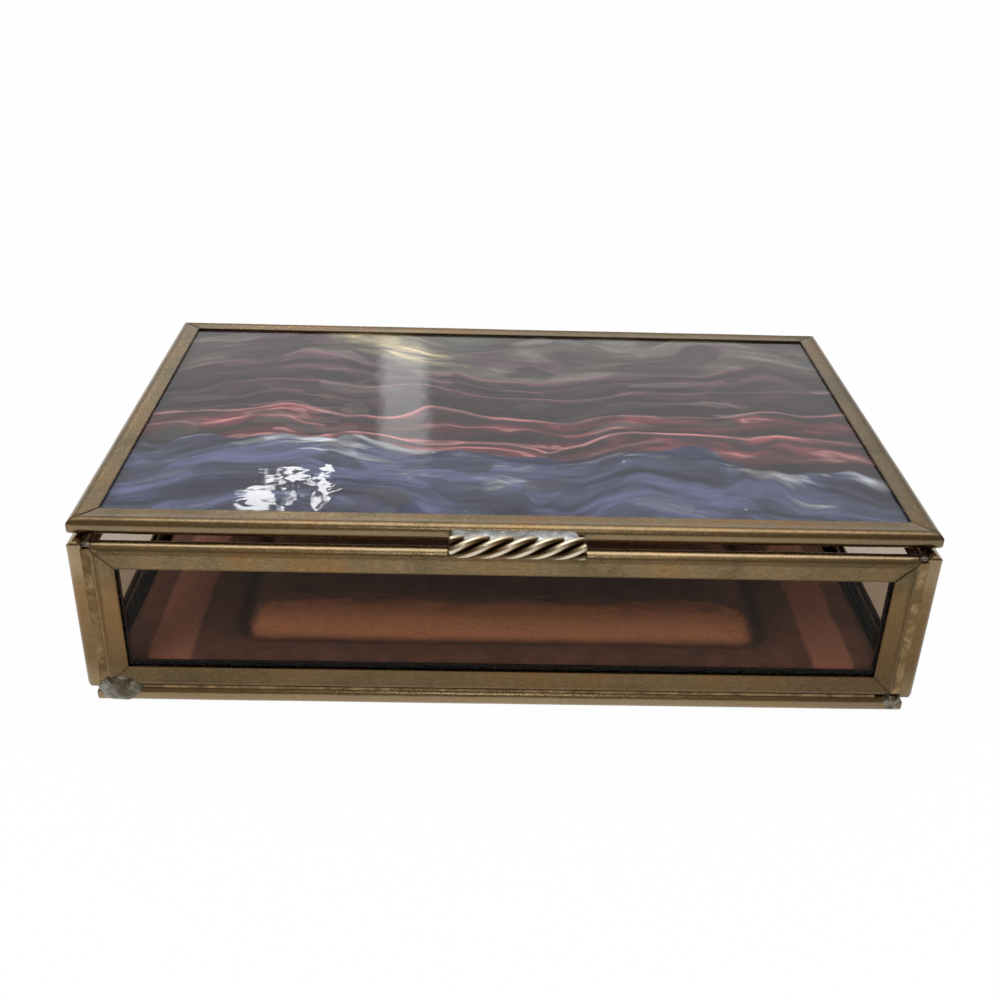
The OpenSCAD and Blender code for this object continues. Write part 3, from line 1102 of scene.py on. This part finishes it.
@dataclass
class PaneFrame:
    """Four cames that frame one pane."""

    name: str
    plane: Plane
    body: str
    sides: tuple[str, str, str, str]

    def build(self, brass: bpy.types.Material) -> None:
        """Models the four cames and sets them round their pane.

        Args:
            brass: The cames' material.
        """
        low, high, left, right = (f"{self.name}_came_{side}" for side in self.sides)
        space = Space.of(low, high, left, right)
        turn = self.plane.value
        local = turn.to_3x3().transposed() @ space.size
        width, height = abs(local[0]), abs(local[1])
        origin = space.low.copy()
        thin = {Plane.LEVEL: 2, Plane.FRONTAL: 1, Plane.SIDEWAYS: 0}[self.plane]
        origin[thin] = space.centre[thin]
        pane = TO_METRES @ Matrix.Translation(origin) @ turn
        half, quarter = math.pi, math.pi / 2
        spots = {
            low: (width, Matrix.Identity(4)),
            high: (width, Matrix.Translation((width, height, 0)) @ Matrix.Rotation(half, 4, "Z")),
            left: (height, Matrix.Translation((0, height, 0)) @ Matrix.Rotation(-quarter, 4, "Z")),
            right: (height, Matrix.Translation((width, 0, 0)) @ Matrix.Rotation(quarter, 4, "Z")),
        }
        made: dict[float, Object] = {}
        for node, (length, spot) in spots.items():
            name = "brass_" + node.replace("_came", "")
            if length in made:
                piece = Bench.copy(made[length], name)
            else:
                piece = made[length] = Came(length).build(name)
                made[length] = Bench.copy(piece, name + "_spare")
            Bench.apply(piece, pane @ spot)
            place(piece, self.body, "brass_came", brass, node)
        for spare in made.values():
            bpy.data.objects.remove(spare)


# ---- The lift handle ----------------------------------------------------------------------------


@dataclass
class LiftHandle:
    """A short bar of four wires twisted together, held to the lid by a skin of solder.

    Lengths are in millimetres and angles in degrees. The wires' domed ends are a share of their radius long.
    """

    lead: float = 16.8
    strands: int = 4
    dome: float = 0.75
    dome_angles: tuple[int, ...] = (25, 50, 70, 85)
    groove_gain: float = 2.2
    web_margin: float = 0.6
    web_back: float = 4.4
    web_thick: float = 1.9
    web_lean: float = 4.0
    web_left: float = 0.4
    web_reach: float = 1.2
    web_front: float = 0.1
    web_drop: float = 1.05
    web_grain: float = 2.2
    web_waves: float = 0.5

    def build(self, brass: bpy.types.Material, solder: bpy.types.Material) -> None:
        """Models the handle and its solder.

        Args:
            brass: The wires' material.
            solder: The solder's material.
        """
        space = Space.of("lift_handle")
        length, across = space.size.x, space.size.y
        wire = across / 2 / (1 + math.sqrt(2))
        orbit = wire * math.sqrt(2)
        first = self.wire(length, wire, orbit)
        wires = [first]
        for number in range(1, self.strands):
            twin = Bench.copy(first, f"wire_{number}")
            Bench.apply(twin, Matrix.Rotation(math.tau * number / self.strands, 4, "X"))
            wires.append(twin)
        piece = Bench.join(wires, "twisted_handle")
        self.mark(piece, across / 2)
        Bench.smooth(piece, 60)
        start = Vector((space.low.x, space.centre.y, space.centre.z))
        Bench.apply(piece, TO_METRES @ Matrix.Translation(start))
        place(piece, "lid", "twisted_wire", brass, "lift_handle")
        self.web(space, solder)

    def wire(self, length: float, radius: float, orbit: float) -> Object:
        """Models one wire of the twist, its ends rounded.

        Args:
            length: The handle's length.
            radius: The wire's radius.
            orbit: How far its centre lies from the handle's axis.

        Returns:
            The wire.
        """
        Bench.clear()
        bpy.ops.mesh.primitive_circle_add(vertices=20, radius=radius, location=(0, orbit, 0),
                                          rotation=(0, math.pi / 2, 0))
        piece = Bench.apply(Bench.take(bpy.context.object, "wire_0"))
        dome = radius * self.dome
        run = length - 2 * dome
        Bench.modify(piece, "SCREW", axis="X", angle=-math.tau * run / self.lead, screw_offset=run, steps=110,
                     render_steps=110, use_smooth_shade=True, use_normal_calculate=True)
        for end, way in ((0.0, -1.0), (run, 1.0)):
            Bench.edit(piece)
            Bench.pick(piece, "VERT", lambda v: abs(v.co.x - end) < 1e-3)
            points = [v.co.copy() for v in bmesh.from_edit_mesh(piece.data).verts if v.select]
            centre = sum(points, Vector()) / len(points)
            done = 0.0
            shrink = 1.0
            for degrees in self.dome_angles:
                angle = math.radians(degrees)
                Bench.extrude((way * dome * (math.sin(angle) - done), 0, 0))
                done = math.sin(angle)
                scale = math.cos(angle) / shrink
                shrink = math.cos(angle)
                bpy.ops.transform.resize(value=(1, scale, scale), center_override=tuple(centre))
            bpy.ops.mesh.edge_face_add()
            Bench.close()
        Bench.weld(piece)
        Bench.apply(piece, Matrix.Translation((dome, 0, 0)))
        return piece

    def mark(self, piece: Object, radius: float) -> None:
        """Stores how deep each point lies in the grooves between the wires.

        Args:
            piece: The twist, about its axis.
            radius: Its outer radius.
        """
        grooves = piece.data.attributes.new("groove", "FLOAT", "POINT")
        for point, mark in zip(piece.data.vertices, grooves.data):
            depth = 1 - math.hypot(point.co.y, point.co.z) / radius
            mark.value = min(1.0, max(0.0, self.groove_gain * depth))

    def web(self, space: Space, solder: bpy.types.Material) -> None:
        """Models the skin of solder from the top of the handle back to the lid's crown.

        Args:
            space: The handle's space.
            solder: The solder's material.
        """
        size = (space.size.x - 2 * self.web_margin, self.web_back, self.web_thick)
        piece = Bench.bar("handle_solder_skin", size, axis=0, cuts=11)
        Bench.modify(piece, "SUBSURF", levels=3, render_levels=3)
        Bench.displace(piece, self.web_grain, self.web_waves, 0.62)
        Bench.smooth(piece, 80)
        lid = Space.of("lid_came_front")
        across = (space.centre.y + lid.low.y + self.web_reach) / 2 - self.web_front
        spot = Vector((space.centre.x - self.web_left, across, space.high.z - self.web_drop))
        lean = Matrix.Rotation(math.radians(self.web_lean), 4, "X")
        Bench.apply(piece, TO_METRES @ Matrix.Translation(spot) @ lean)
        place(piece, "lid", "solder", solder, "handle_solder")


# ---- The solder on the corners ------------------------------------------------------------------


@dataclass
class CornerSolder:
    """The frozen lumps of solder on the floor's corners and the rim's front corners.

    A pair of floor sizes or reaches is for the left and the right corners, and a pair of spins is the first
    piece's turn and what each next one adds, in degrees. A grain is the bumps' size and height.
    """

    floor_sizes: tuple[Triple, Triple] = ((4.3, 2.2, 3.1), (2.1, 1.9, 2.0))
    floor_grain: Span = (1.6, 0.55)
    floor_spins: Span = (12, 37)
    front_reach: Span = (1.0, 0.45)
    back_reach: float = -0.1
    floor_inset: float = 0.1
    floor_lift: float = 0.15
    bead: Triple = (0.95, 0.80, 0.50)
    bead_grain: Span = (1.1, 0.22)
    bead_spins: Span = (5, 71)
    bead_inset: float = 0.2
    bead_back: float = 1.1
    bead_drop: float = 0.5

    def blob(self, name: str, radii: Triple, grain: Span, spin: float) -> Object:
        """Models one lump.

        Args:
            name: The lump's name.
            radii: Its half sizes.
            grain: The size and height of its bumps.
            spin: How far the lump is turned before it gets its bumps, in degrees.

        Returns:
            The lump, about the origin.
        """
        Bench.clear()
        bpy.ops.mesh.primitive_ico_sphere_add(subdivisions=5, radius=1)
        piece = Bench.take(bpy.context.object, name)
        piece.scale = radii
        Bench.apply(piece)
        spun = Matrix.Rotation(math.radians(spin), 4, (1, 2, 3))
        Bench.apply(piece, spun)
        Bench.displace(piece, *grain, 0.6)
        Bench.apply(piece, spun.inverted())
        Bench.smooth(piece, 80)
        return piece

    def build(self, solder: bpy.types.Material) -> None:
        """Models the lumps and beads.

        Args:
            solder: Their material.
        """
        front = Space.of("front_came_left", "front_came_right")
        place(self.floor_lumps(front), "casket", "solder", solder, "floor_corner_solder")
        place(self.rim_beads(front), "casket", "solder", solder, "rim_corner_solder")

    def floor_lumps(self, front: Space) -> Object:
        """Models the lumps on the floor's four corners.

        Args:
            front: The space of the front wall's upright cames.

        Returns:
            The lumps, in their place.
        """
        floor = Space.of("floor_corner_solder")
        back = Space.of("back_came_left")
        lumps = []
        for number, (side, depth) in enumerate(((-1, -1), (1, -1), (-1, 1), (1, 1))):
            hand = 0 if side < 0 else 1
            radii = self.floor_sizes[hand]
            spin = self.floor_spins[0] + self.floor_spins[1] * number
            lump = self.blob(f"lump_{number}", radii, self.floor_grain, spin)
            face = front.low.y if depth < 0 else back.high.y
            reach = self.front_reach[hand] if depth < 0 else self.back_reach
            y = face - depth * (radii[1] - reach)
            x = side * (floor.high.x - radii[0] - self.floor_inset)
            Bench.apply(lump, TO_METRES @ Matrix.Translation((x, y, radii[2] + self.floor_lift)))
            lumps.append(lump)
        return Bench.join(lumps, "floor_solder_lumps")

    def rim_beads(self, front: Space) -> Object:
        """Models the beads on the rim's front corners.

        Args:
            front: The space of the front wall's upright cames.

        Returns:
            The beads, in their place.
        """
        top = Space.of("rim_corner_solder").high.z
        beads = []
        for number, side in enumerate((-1, 1)):
            spin = self.bead_spins[0] + self.bead_spins[1] * number
            bead = self.blob(f"bead_{number}", self.bead, self.bead_grain, spin)
            x = side * (front.high.x - self.bead_inset)
            spot = (x, front.low.y + self.bead_back, top - self.bead[2] - self.bead_drop)
            Bench.apply(bead, TO_METRES @ Matrix.Translation(spot))
            beads.append(bead)
        return Bench.join(beads, "rim_solder_beads")


@dataclass
class CornerSeams:
    """The runs of solder that fill the grooves where two upright cames meet."""

    width: float = 1.75
    depth: float = 0.9
    sink: float = 0.22
    short: float = 0.45
    bevel: float = 0.25
    ripple: float = 0.16
    ripple_size: float = 2.4

    def run(self, name: str, length: float) -> Object:
        """Models one run along +Z, its face towards -Y at y = 0.

        Args:
            name: The run's name.
            length: Its length.

        Returns:
            The run.
        """
        piece = Bench.bar(name, (self.width, self.depth, length), axis=2, cuts=24)
        Bench.apply(piece, Matrix.Translation((0, self.depth / 2, length / 2)))
        Bench.bevel(piece, self.bevel)
        Bench.modify(piece, "SUBSURF", levels=2, render_levels=2)
        Bench.displace(piece, self.ripple_size, self.ripple)
        Bench.smooth(piece, 80)
        return piece

    def build(self, solder: bpy.types.Material) -> None:
        """Models the four runs.

        Args:
            solder: Their material.
        """
        front = Space.of("front_came_left", "front_came_right")
        back = Space.of("back_came_left", "back_came_right")
        runs = []
        for side in (-1, 1):
            for groove, x, y, turn in ((front, front.high.x, front.low.y + self.sink, 0.0),
                                       (back, back.high.x - self.sink, back.low.y, side * 90.0)):
                run = self.run(f"run_{len(runs)}", groove.size.z - 2 * self.short)
                spot = Matrix.Translation((side * x, y, groove.low.z + self.short))
                Bench.apply(run, TO_METRES @ spot @ Matrix.Rotation(math.radians(turn), 4, "Z"))
                runs.append(run)
        place(Bench.join(runs, "corner_seams"), "casket", "solder", solder, "corner_seam_solder")


# ---- The velvet pad -----------------------------------------------------------------------------


@dataclass
class VelvetPad:
    """A velvet pad on a board: a raised field, a stitched groove round it and a soft border.

    Lengths are in millimetres. The groove's and the stitch's shares are of the rounding, and slack, most and
    the side light's share are plain shares. The light band is the painted pool of light on the field's front
    slope, measured from the field's front edge, and the side light is painted light on the border at each
    side. Each of their pairs is a place and how softly it fades. A fold layer is its pace, its place in the
    noise and its strength.
    """

    columns: int = 132
    rows: int = 86
    edge: float = 1.3
    wall: float = 0.65
    border_rise: float = 1.7
    field_rise: float = 2.0
    slack: float = 0.82
    border_x: float = 22.0
    border_y: float = 8.0
    groove: float = 1.1
    groove_share: float = 0.6
    slope: float = 6.0
    round: float = 2.6
    draw: float = 0.8
    pucker: float = 0.10
    pucker_reach: float = 4.0
    fold_layers: tuple[Triple, ...] = ((0.13, 1.7, 1.0), (0.4, 8.1, 0.5))
    model_scale: float = 0.01
    pressure: float = 0.15
    bending: float = 0.05
    frames: int = 14
    stitch_share: float = 0.35
    swell: float = 0.75
    most: float = 0.97
    # Width of the painted shade along the stitched groove.
    groove_shade_width: float = 1.6
    # Place of the painted pool of light on the field's front slope.
    light_band_ends: float = 4.0
    light_band_front: Span = (1.5, 3.5)
    light_band_back: Span = (15.0, 9.0)
    # Place of the painted light on the border at each side.
    side_light_inner: Span = (6.5, 2.5)
    side_light_outer: Span = (5.0, 2.5)
    strip_back: Span = (18.0, 22.0)
    side_light_share: float = 0.9

    def inside(self, x: float, y: float, a: float, b: float, r: float) -> float:
        """How far a point lies inside a rectangle with round corners."""
        dx, dy = abs(x) - a + r, abs(y) - b + r
        return r - math.hypot(max(dx, 0), max(dy, 0)) - min(max(dx, dy), 0)

    def in_field(self, x: float, y: float, a: float, b: float) -> float:
        """How far a point lies inside the raised field of a pad with half sizes a and b."""
        return self.inside(x, y, a - self.border_x, b - self.border_y, 2 * self.round)

    @staticmethod
    def ease(t: float) -> float:
        """A smooth step from 0 to 1."""
        t = min(1.0, max(0.0, t))
        return t * t * (3 - 2 * t)

    def height(self, x: float, y: float, a: float, b: float) -> float:
        """Works out the cover's height over the board.

        Args:
            x: A point's place across the pad.
            y: Its place along the pad's depth.
            a: Half the pad's width.
            b: Half its depth.

        Returns:
            The height.
        """
        edge = self.ease(self.inside(x, y, a, b, self.round) / self.round)
        field = self.in_field(x, y, a, b)
        rise = self.ease(field / self.slope)
        sewn = math.exp(-((field / (self.groove_share * self.round)) ** 2))
        folds = 0.0
        for pace, seed, share in self.fold_layers:
            folds += share * noise.noise(Vector((x * pace, y * pace, seed)))
        pull = self.pucker * (1 + 2 * math.exp(-abs(field) / self.pucker_reach)) * folds * edge
        rises = self.slack * (self.border_rise * edge + self.field_rise * rise)
        return self.edge + rises - self.groove * sewn * edge + pull

    def cover(self, a: float, b: float) -> Object:
        """Models the cover from a grid that is finer towards its edges.

        Args:
            a: Half the pad's width.
            b: Half its depth.

        Returns:
            The cover, open below, its foot at z = 0.
        """
        Bench.clear()
        bpy.ops.mesh.primitive_grid_add(x_subdivisions=self.columns, y_subdivisions=self.rows, size=2)
        piece = Bench.take(bpy.context.object, "velvet_cushion")
        for point in piece.data.vertices:
            u, v = point.co.x, point.co.y
            x = 0.5 * (math.sin(u * math.pi / 2) + u)
            y = 0.5 * (math.sin(v * math.pi / 2) + v)
            px, py = x * a, y * b
            point.co = (
                px - math.copysign(self.draw * (1 - y * y) * x * x, x),
                py - math.copysign(self.draw * (1 - x * x) * y * y, y),
                self.height(px, py, a, b),
            )
        Bench.edit(piece)
        Bench.pick(piece, "EDGE", lambda e: e.is_boundary)
        for _ in range(2):
            Bench.extrude((0, 0, -self.wall))
        bpy.ops.transform.resize(value=(1, 1, 0), center_override=(0, 0, 0))
        Bench.close()
        return piece

    def build(self, velvet: bpy.types.Material) -> None:
        """Models the pad.

        Args:
            velvet: The cover's material.
        """
        space = Space.of("velvet_pad")
        a, b = space.size.x / 2, space.size.y / 2
        piece = self.cover(a, b)
        self.stuff(piece, a, b)
        Bench.modify(piece, "SUBSURF", levels=1, render_levels=1)
        Bench.edit(piece)
        Bench.pick(piece, "EDGE", lambda e: e.is_boundary)
        bpy.ops.mesh.edge_face_add()
        Bench.close()
        Bench.weld(piece)
        self.mark(piece, a, b)
        Bench.smooth(piece, 60)
        base = Vector((space.centre.x, space.centre.y, space.low.z))
        Bench.apply(piece, TO_METRES @ Matrix.Translation(base))
        place(piece, "casket", "velvet", velvet, "velvet_pad")

    def stuff(self, piece: Object, a: float, b: float) -> None:
        """Lets the cover swell under its filling between its stitches, with the cloth solver.

        Args:
            piece: The cover, about the origin.
            a: Half the pad's width.
            b: Half its depth.
        """
        rest = [point.co.copy() for point in piece.data.vertices]
        held = piece.vertex_groups.new(name="held")
        stitched = []
        for index, point in enumerate(rest):
            field = self.in_field(point.x, point.y, a, b)
            if point.z < self.edge or abs(field) < self.stitch_share * self.round:
                stitched.append(index)
        held.add(stitched, 1.0, "REPLACE")
        Bench.apply(piece, Matrix.Scale(self.model_scale, 4))
        cloth = piece.modifiers.new("stuffing", "CLOTH")
        cloth.settings.vertex_group_mass = held.name
        cloth.settings.use_pressure = True
        cloth.settings.uniform_pressure_force = self.pressure
        cloth.settings.bending_stiffness = self.bending
        cloth.settings.effector_weights.gravity = 0
        for frame in range(1, self.frames + 1):
            bpy.context.scene.frame_set(frame)
        Bench.take(piece)
        bpy.ops.object.modifier_apply(modifier=cloth.name)
        bpy.context.scene.frame_set(1)
        Bench.apply(piece, Matrix.Scale(1 / self.model_scale, 4))
        moves = [point.co - start for point, start in zip(piece.data.vertices, rest)]
        usual = sorted(move.length for move in moves)[round(self.most * len(moves))]
        share = min(1.0, self.swell / usual)
        top = self.edge + self.border_rise + self.field_rise
        for point, start, move in zip(piece.data.vertices, rest, moves):
            move *= share * min(1.0, self.swell / max(TINY, share * move.length))
            x, y, z = start + move
            point.co = (max(-a, min(a, x)), max(-b, min(b, y)), max(0.0, min(top, z)))
        piece.vertex_groups.clear()
        LOG.info("%.0f%% of the cover swelled by %.2f mm or less, times %.2f", 100 * self.most, usual, share)

    def mark(self, piece: Object, a: float, b: float) -> None:
        """Stores where light and shade are painted: a pool of light along the field's front slope, light at
        both sides and shade along the stitched groove.

        Args:
            piece: The pad, about the origin.
            a: Half the pad's width.
            b: Half its depth.
        """
        marks: dict[str, list[float]] = {"painted_light_band": [], "painted_side_light": [], "sewn": []}
        field_a, field_b = a - self.border_x, b - self.border_y
        for point in piece.data.vertices:
            x, y, _ = point.co
            # Painted shade along the stitched groove.
            marks["sewn"].append(math.exp(-((self.in_field(x, y, a, b) / self.groove_shade_width) ** 2)))
            # Painted pool of light along the field's front slope.
            wide = self.ease((field_a - abs(x)) / self.light_band_ends)
            front = self.ease((y + field_b + self.light_band_front[0]) / self.light_band_front[1])
            back = self.ease((-field_b + self.light_band_back[0] - y) / self.light_band_back[1])
            marks["painted_light_band"].append(wide * front * back)
            # Painted light on the border at each side, fading towards the back.
            inner = self.ease((abs(x) - field_a - self.side_light_inner[0]) / self.side_light_inner[1])
            outer = self.ease((a - self.side_light_outer[0] - abs(x)) / self.side_light_outer[1])
            fade = self.ease((self.strip_back[0] - y) / self.strip_back[1])
            marks["painted_side_light"].append(inner * outer * fade * self.side_light_share)
        for name, values in marks.items():
            piece.data.attributes.new(name, "FLOAT", "POINT").data.foreach_set("value", values)


# ---- The studio ---------------------------------------------------------------------------------


@dataclass(frozen=True)
class Source:
    """A soft lamp, or a bright card that the lid's glass mirrors.

    Attributes:
        name: Its name.
        spot: Where it hangs, in millimetres.
        size: Its width and height in metres.
        radiance: How bright its face is beside white.
        aim: The point that it faces, in millimetres.
        mirrored: Whether reflections show a lamp.
        leaves: How much leaves in front of a card break it up.
    """

    name: str
    spot: Triple
    size: Span
    radiance: float
    aim: Triple = (0, 0, 15)
    mirrored: bool = True
    leaves: float = 0.0


@dataclass
class Studio:
    """The pale floor, the soft lamps, the white surroundings and the camera.

    The floor's and the cloth's sizes are in metres, the camera's place and lens in millimetres and all angles
    in degrees. card_core is the share of a card that is bright right through, and petals are the values
    between which the light shows through the leaves.
    """

    floor_size: float = 12.0
    floor_glow: float = 0.97
    cloth_radius: float = 1.5
    cloth_angles: Span = (8.0, 80.0)
    cloth_back: float = 0.35
    cloth_slope: float = 0.3
    cloth_colour: Colour = (0.27, 0.23, 0.17)
    camera_place: Triple = (-6.885, -226.32, 143.17)
    pitch: float = 28.987
    yaw: float = 1.643
    roll: float = -1.843
    lens: float = 43.786
    ambient: float = 0.42
    ambient_colour: Colour = (1.0, 0.985, 0.96)
    card_core: float = 0.45
    petals: Span = (1.06, 1.15)
    lamps: tuple[Source, ...] = (
        Source("key", (-520, -620, 760), (0.55, 0.55), 4.0, mirrored=False),
        Source("fill", (720, -380, 480), (0.60, 0.60), 1.3, mirrored=False),
        Source("top", (60, 60, 900), (0.80, 0.66), 1.5),
        Source("glint", (10, -430, 440), (0.07, 0.07), 9.0, aim=(0, -48, 35)),
    )
    cards: tuple[Source, ...] = (
        Source("window", (-133, 500, 330), (0.110, 0.050), 11.0, aim=(-41, -33, 37), leaves=1.0),
        Source("strip", (-51, 500, 258), (0.040, 0.100), 2.6, aim=(-21, 14, 37)),
    )

    def seen_plainly(self, g: Graph) -> Socket:
        """Tells the rays that show the background: camera, glossy and transmission rays.

        Args:
            g: The node tree.

        Returns:
            One for those rays, and zero for the others.
        """
        rays = g.add("LightPath").outputs
        shown = rays["Is Camera Ray"]
        for name in ("Is Glossy Ray", "Is Transmission Ray"):
            shown = g.calc("ADD", shown, rays[name], clamp=True)
        return shown

    def world(self) -> None:
        """White surroundings that light the object more softly than they look."""
        g = Graph(bpy.data.worlds.new("studio"))
        lighting = g.add("Background", {"Color": self.ambient_colour, "Strength": self.ambient})
        shown = g.add("Background", {"Color": (1.0, 1.0, 1.0), "Strength": 1.0})
        bpy.context.scene.world = g.finish(g.blend(self.seen_plainly(g), lighting, shown))

    def floor(self) -> None:
        """A pale floor that stays white and keeps the object's shadow."""
        Bench.clear()
        bpy.ops.mesh.primitive_plane_add(size=self.floor_size)
        plane = Bench.take(bpy.context.object, "studio_floor")
        g = Graph.named("studio_floor")
        speckle = g.noise(g.points(), 0.02, 2)
        matt = g.add("BsdfDiffuse", {"Color": g.mix(speckle, (0.96, 0.96, 0.96), (0.98, 0.98, 0.975))})
        share = g.calc("MULTIPLY", self.seen_plainly(g), self.floor_glow)
        plane.data.materials.append(g.finish(g.blend(share, matt, g.glow((1.0, 1.0, 1.0), 1.0))))
        plane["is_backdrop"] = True

    def covers(self, point: Vector) -> bool:
        """Whether the cloth hangs at a point of its dome."""
        low, high = (self.cloth_radius * math.sin(math.radians(angle)) for angle in self.cloth_angles)
        return low < point.z < high and point.y < self.cloth_back - self.cloth_slope * point.z

    def cloth(self) -> None:
        """A dim cloth over the front and sides, seen only in reflections, that gives metal its dark sides."""
        Bench.clear()
        bpy.ops.mesh.primitive_uv_sphere_add(segments=64, ring_count=90, radius=self.cloth_radius)
        dome = Bench.take(bpy.context.object, "studio_cloth")
        Bench.edit(dome)
        Bench.pick(dome, "FACE", lambda f: not self.covers(f.calc_center_median()))
        bpy.ops.mesh.delete(type="FACE")
        Bench.close()
        g = Graph.named("studio_cloth")
        dome.data.materials.append(g.finish(g.glow(self.cloth_colour, 1.0)))
        self.only_reflected(dome)

    def only_reflected(self, piece: Object) -> None:
        """Stages a piece that nothing but reflections show.

        Args:
            piece: The piece.
        """
        for ray in ("camera", "diffuse", "transmission", "volume_scatter", "shadow"):
            setattr(piece, "visible_" + ray, False)
        piece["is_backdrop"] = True

    def card(self, card: Source) -> None:
        """Hangs a bright card that the lid's glass mirrors, like a window.

        Args:
            card: The card.
        """
        Bench.clear()
        bpy.ops.mesh.primitive_plane_add(size=1)
        piece = Bench.take(bpy.context.object, "studio_" + card.name)
        piece.dimensions = (*card.size, 0)
        Bench.apply(piece)
        g = Graph.named("studio_" + card.name)
        p = g.points()
        wide, tall = (
            g.rise(g.calc("ABSOLUTE", way), self.card_core * side / MM / 2, side / MM / 2, 1, 0)
            for way, side in zip(g.split(p), card.size)
        )
        shape = g.calc("MULTIPLY", wide, tall)
        if card.leaves:
            petals = g.noise(p, 0.055, 2, 0.5, 1.2)
            broken = g.calc("MULTIPLY_ADD", petals, card.leaves, g.calc("MULTIPLY", shape, 0.6))
            shape = g.rise(broken, *self.petals)
        glow = g.glow((1.0, 1.0, 1.0), card.radiance)
        piece.data.materials.append(g.finish(g.blend(shape, g.add("BsdfTransparent"), glow)))
        spot = Vector(card.spot)
        turn = (spot - Vector(card.aim)).to_track_quat("-Z", "Y").to_matrix().to_4x4()
        piece.matrix_world = Matrix.Translation(spot * MM) @ turn
        self.only_reflected(piece)

    def lamp(self, source: Source) -> None:
        """Hangs one soft rectangular lamp.

        Args:
            source: The lamp.
        """
        light = bpy.data.lights.new(source.name, "AREA")
        light.shape = "RECTANGLE"
        light.size, light.size_y = source.size
        light.energy = source.radiance * math.pi * source.size[0] * source.size[1]
        lamp = bpy.data.objects.new(source.name, light)
        spot = Vector(source.spot)
        lamp.location = spot * MM
        lamp.rotation_mode = "QUATERNION"
        lamp.rotation_quaternion = (Vector(source.aim) - spot).to_track_quat("-Z", "Y")
        lamp.visible_camera = lamp.visible_transmission = False
        lamp.visible_glossy = source.mirrored
        bpy.context.scene.collection.objects.link(lamp)

    def camera(self) -> None:
        """The camera, at the photograph's place."""
        pitch, yaw, roll = (math.radians(a) for a in (self.pitch, self.yaw, self.roll))
        ahead = Vector((math.sin(yaw) * math.cos(pitch), math.cos(yaw) * math.cos(pitch), -math.sin(pitch)))
        right = Vector((math.cos(yaw), -math.sin(yaw), 0))
        down = ahead.cross(right)
        x = math.cos(roll) * right + math.sin(roll) * down
        y = -(-math.sin(roll) * right + math.cos(roll) * down)
        data = bpy.data.cameras.new("camera")
        data.lens = self.lens
        data.sensor_width = 36
        data.clip_start, data.clip_end = 0.01, 50
        camera = bpy.data.objects.new("camera", data)
        turn = Matrix((x, y, -ahead)).transposed().to_4x4()
        camera.matrix_world = Matrix.Translation(Vector(self.camera_place) * MM) @ turn
        bpy.context.scene.collection.objects.link(camera)
        bpy.context.scene.camera = camera

    def build(self) -> None:
        """Sets up the studio."""
        bpy.context.scene.view_settings.view_transform = "Standard"
        self.camera()
        self.world()
        self.floor()
        self.cloth()
        for lamp in self.lamps:
            self.lamp(lamp)
        for card in self.cards:
            self.card(card)
        LOG.info("studio ready")


# ---- The casket ---------------------------------------------------------------------------------


@dataclass
class Casket:
    """The whole box, from its CAD nodes and the pieces that stand for some of them."""

    nodes: dict[str, Object]
    panes: tuple[PaneFrame, ...] = (
        PaneFrame("front", Plane.FRONTAL, "casket", ("bottom", "top", "left", "right")),
        PaneFrame("back", Plane.FRONTAL, "casket", ("bottom", "top", "left", "right")),
        PaneFrame("left", Plane.SIDEWAYS, "casket", ("bottom", "top", "front", "back")),
        PaneFrame("right", Plane.SIDEWAYS, "casket", ("bottom", "top", "front", "back")),
        PaneFrame("floor", Plane.LEVEL, "casket", ("front", "back", "left", "right")),
        PaneFrame("lid", Plane.LEVEL, "lid", ("front", "back", "left", "right")),
    )

    def frames(self) -> None:
        """Builds the six frames."""
        brass = Brass().material(Form.CAME)
        for pane in self.panes:
            pane.build(brass)

    def glazing(self) -> None:
        """Dresses the panes, the picture and the boards."""
        clear = ClearGlass().material()
        for side in ("front", "back", "left", "right", "floor"):
            dress(self.nodes[side + "_glass"], clear)
        lid = ClearGlass("lid_glass", 1.36, wave=0.10, wave_scale=0.06, tint=(0.97, 0.98, 0.98))
        dress(self.nodes["lid_glass"], lid.material())
        dress(self.nodes["lid_print"], Picture().material())
        dress(self.nodes["lid_backing"], Card("lid_card").material())
        dress(self.nodes["pad_board"], Card("pad_card").material())

    def fittings(self) -> None:
        """Builds the handle and the solder, and dresses the hinge."""
        dull, tarnished = DULL_SOLDER.material(), TARNISHED_SOLDER.material()
        bar = Brass().material(Form.BAR)
        LiftHandle().build(Brass().material(Form.WIRE), BRIGHT_SOLDER.material())
        CornerSolder().build(dull)
        CornerSeams().build(tarnished)
        for name in ("hinge_tube", "hinge_rod"):
            dress(self.nodes[name], bar)
        for name in ("hinge_tube_solder", "hinge_rod_solder"):
            dress(self.nodes[name], dull)
        dress(self.nodes["floor_seam_solder"], tarnished)

    def lining(self) -> None:
        """Builds the velvet pad."""
        VelvetPad().build(Velvet().material())

    def build(self) -> None:
        """Builds the box in order."""
        self.frames()
        self.glazing()
        self.fittings()
        self.lining()


def write_sizes(cad: tuple[Vector, Vector]) -> None:
    """Writes the CAD box and the finished model's box as plain lists.

    Args:
        cad: The CAD box's lowest and highest corners.
    """
    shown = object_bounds()
    for name, box in (("CAD", cad), ("visual", shown)):
        LOG.info("%s box: %s to %s mm", name, *([round(v / MM, 2) for v in corner] for corner in box))


def main() -> None:
    """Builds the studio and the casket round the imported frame."""
    logging.basicConfig(level=logging.INFO, format="%(name)s: %(message)s")
    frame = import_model()
    cad_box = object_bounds()
    Studio().build()
    Casket(frame["nodes"]).build()
    write_sizes(cad_box)


if __name__ == "__main__":
    main()
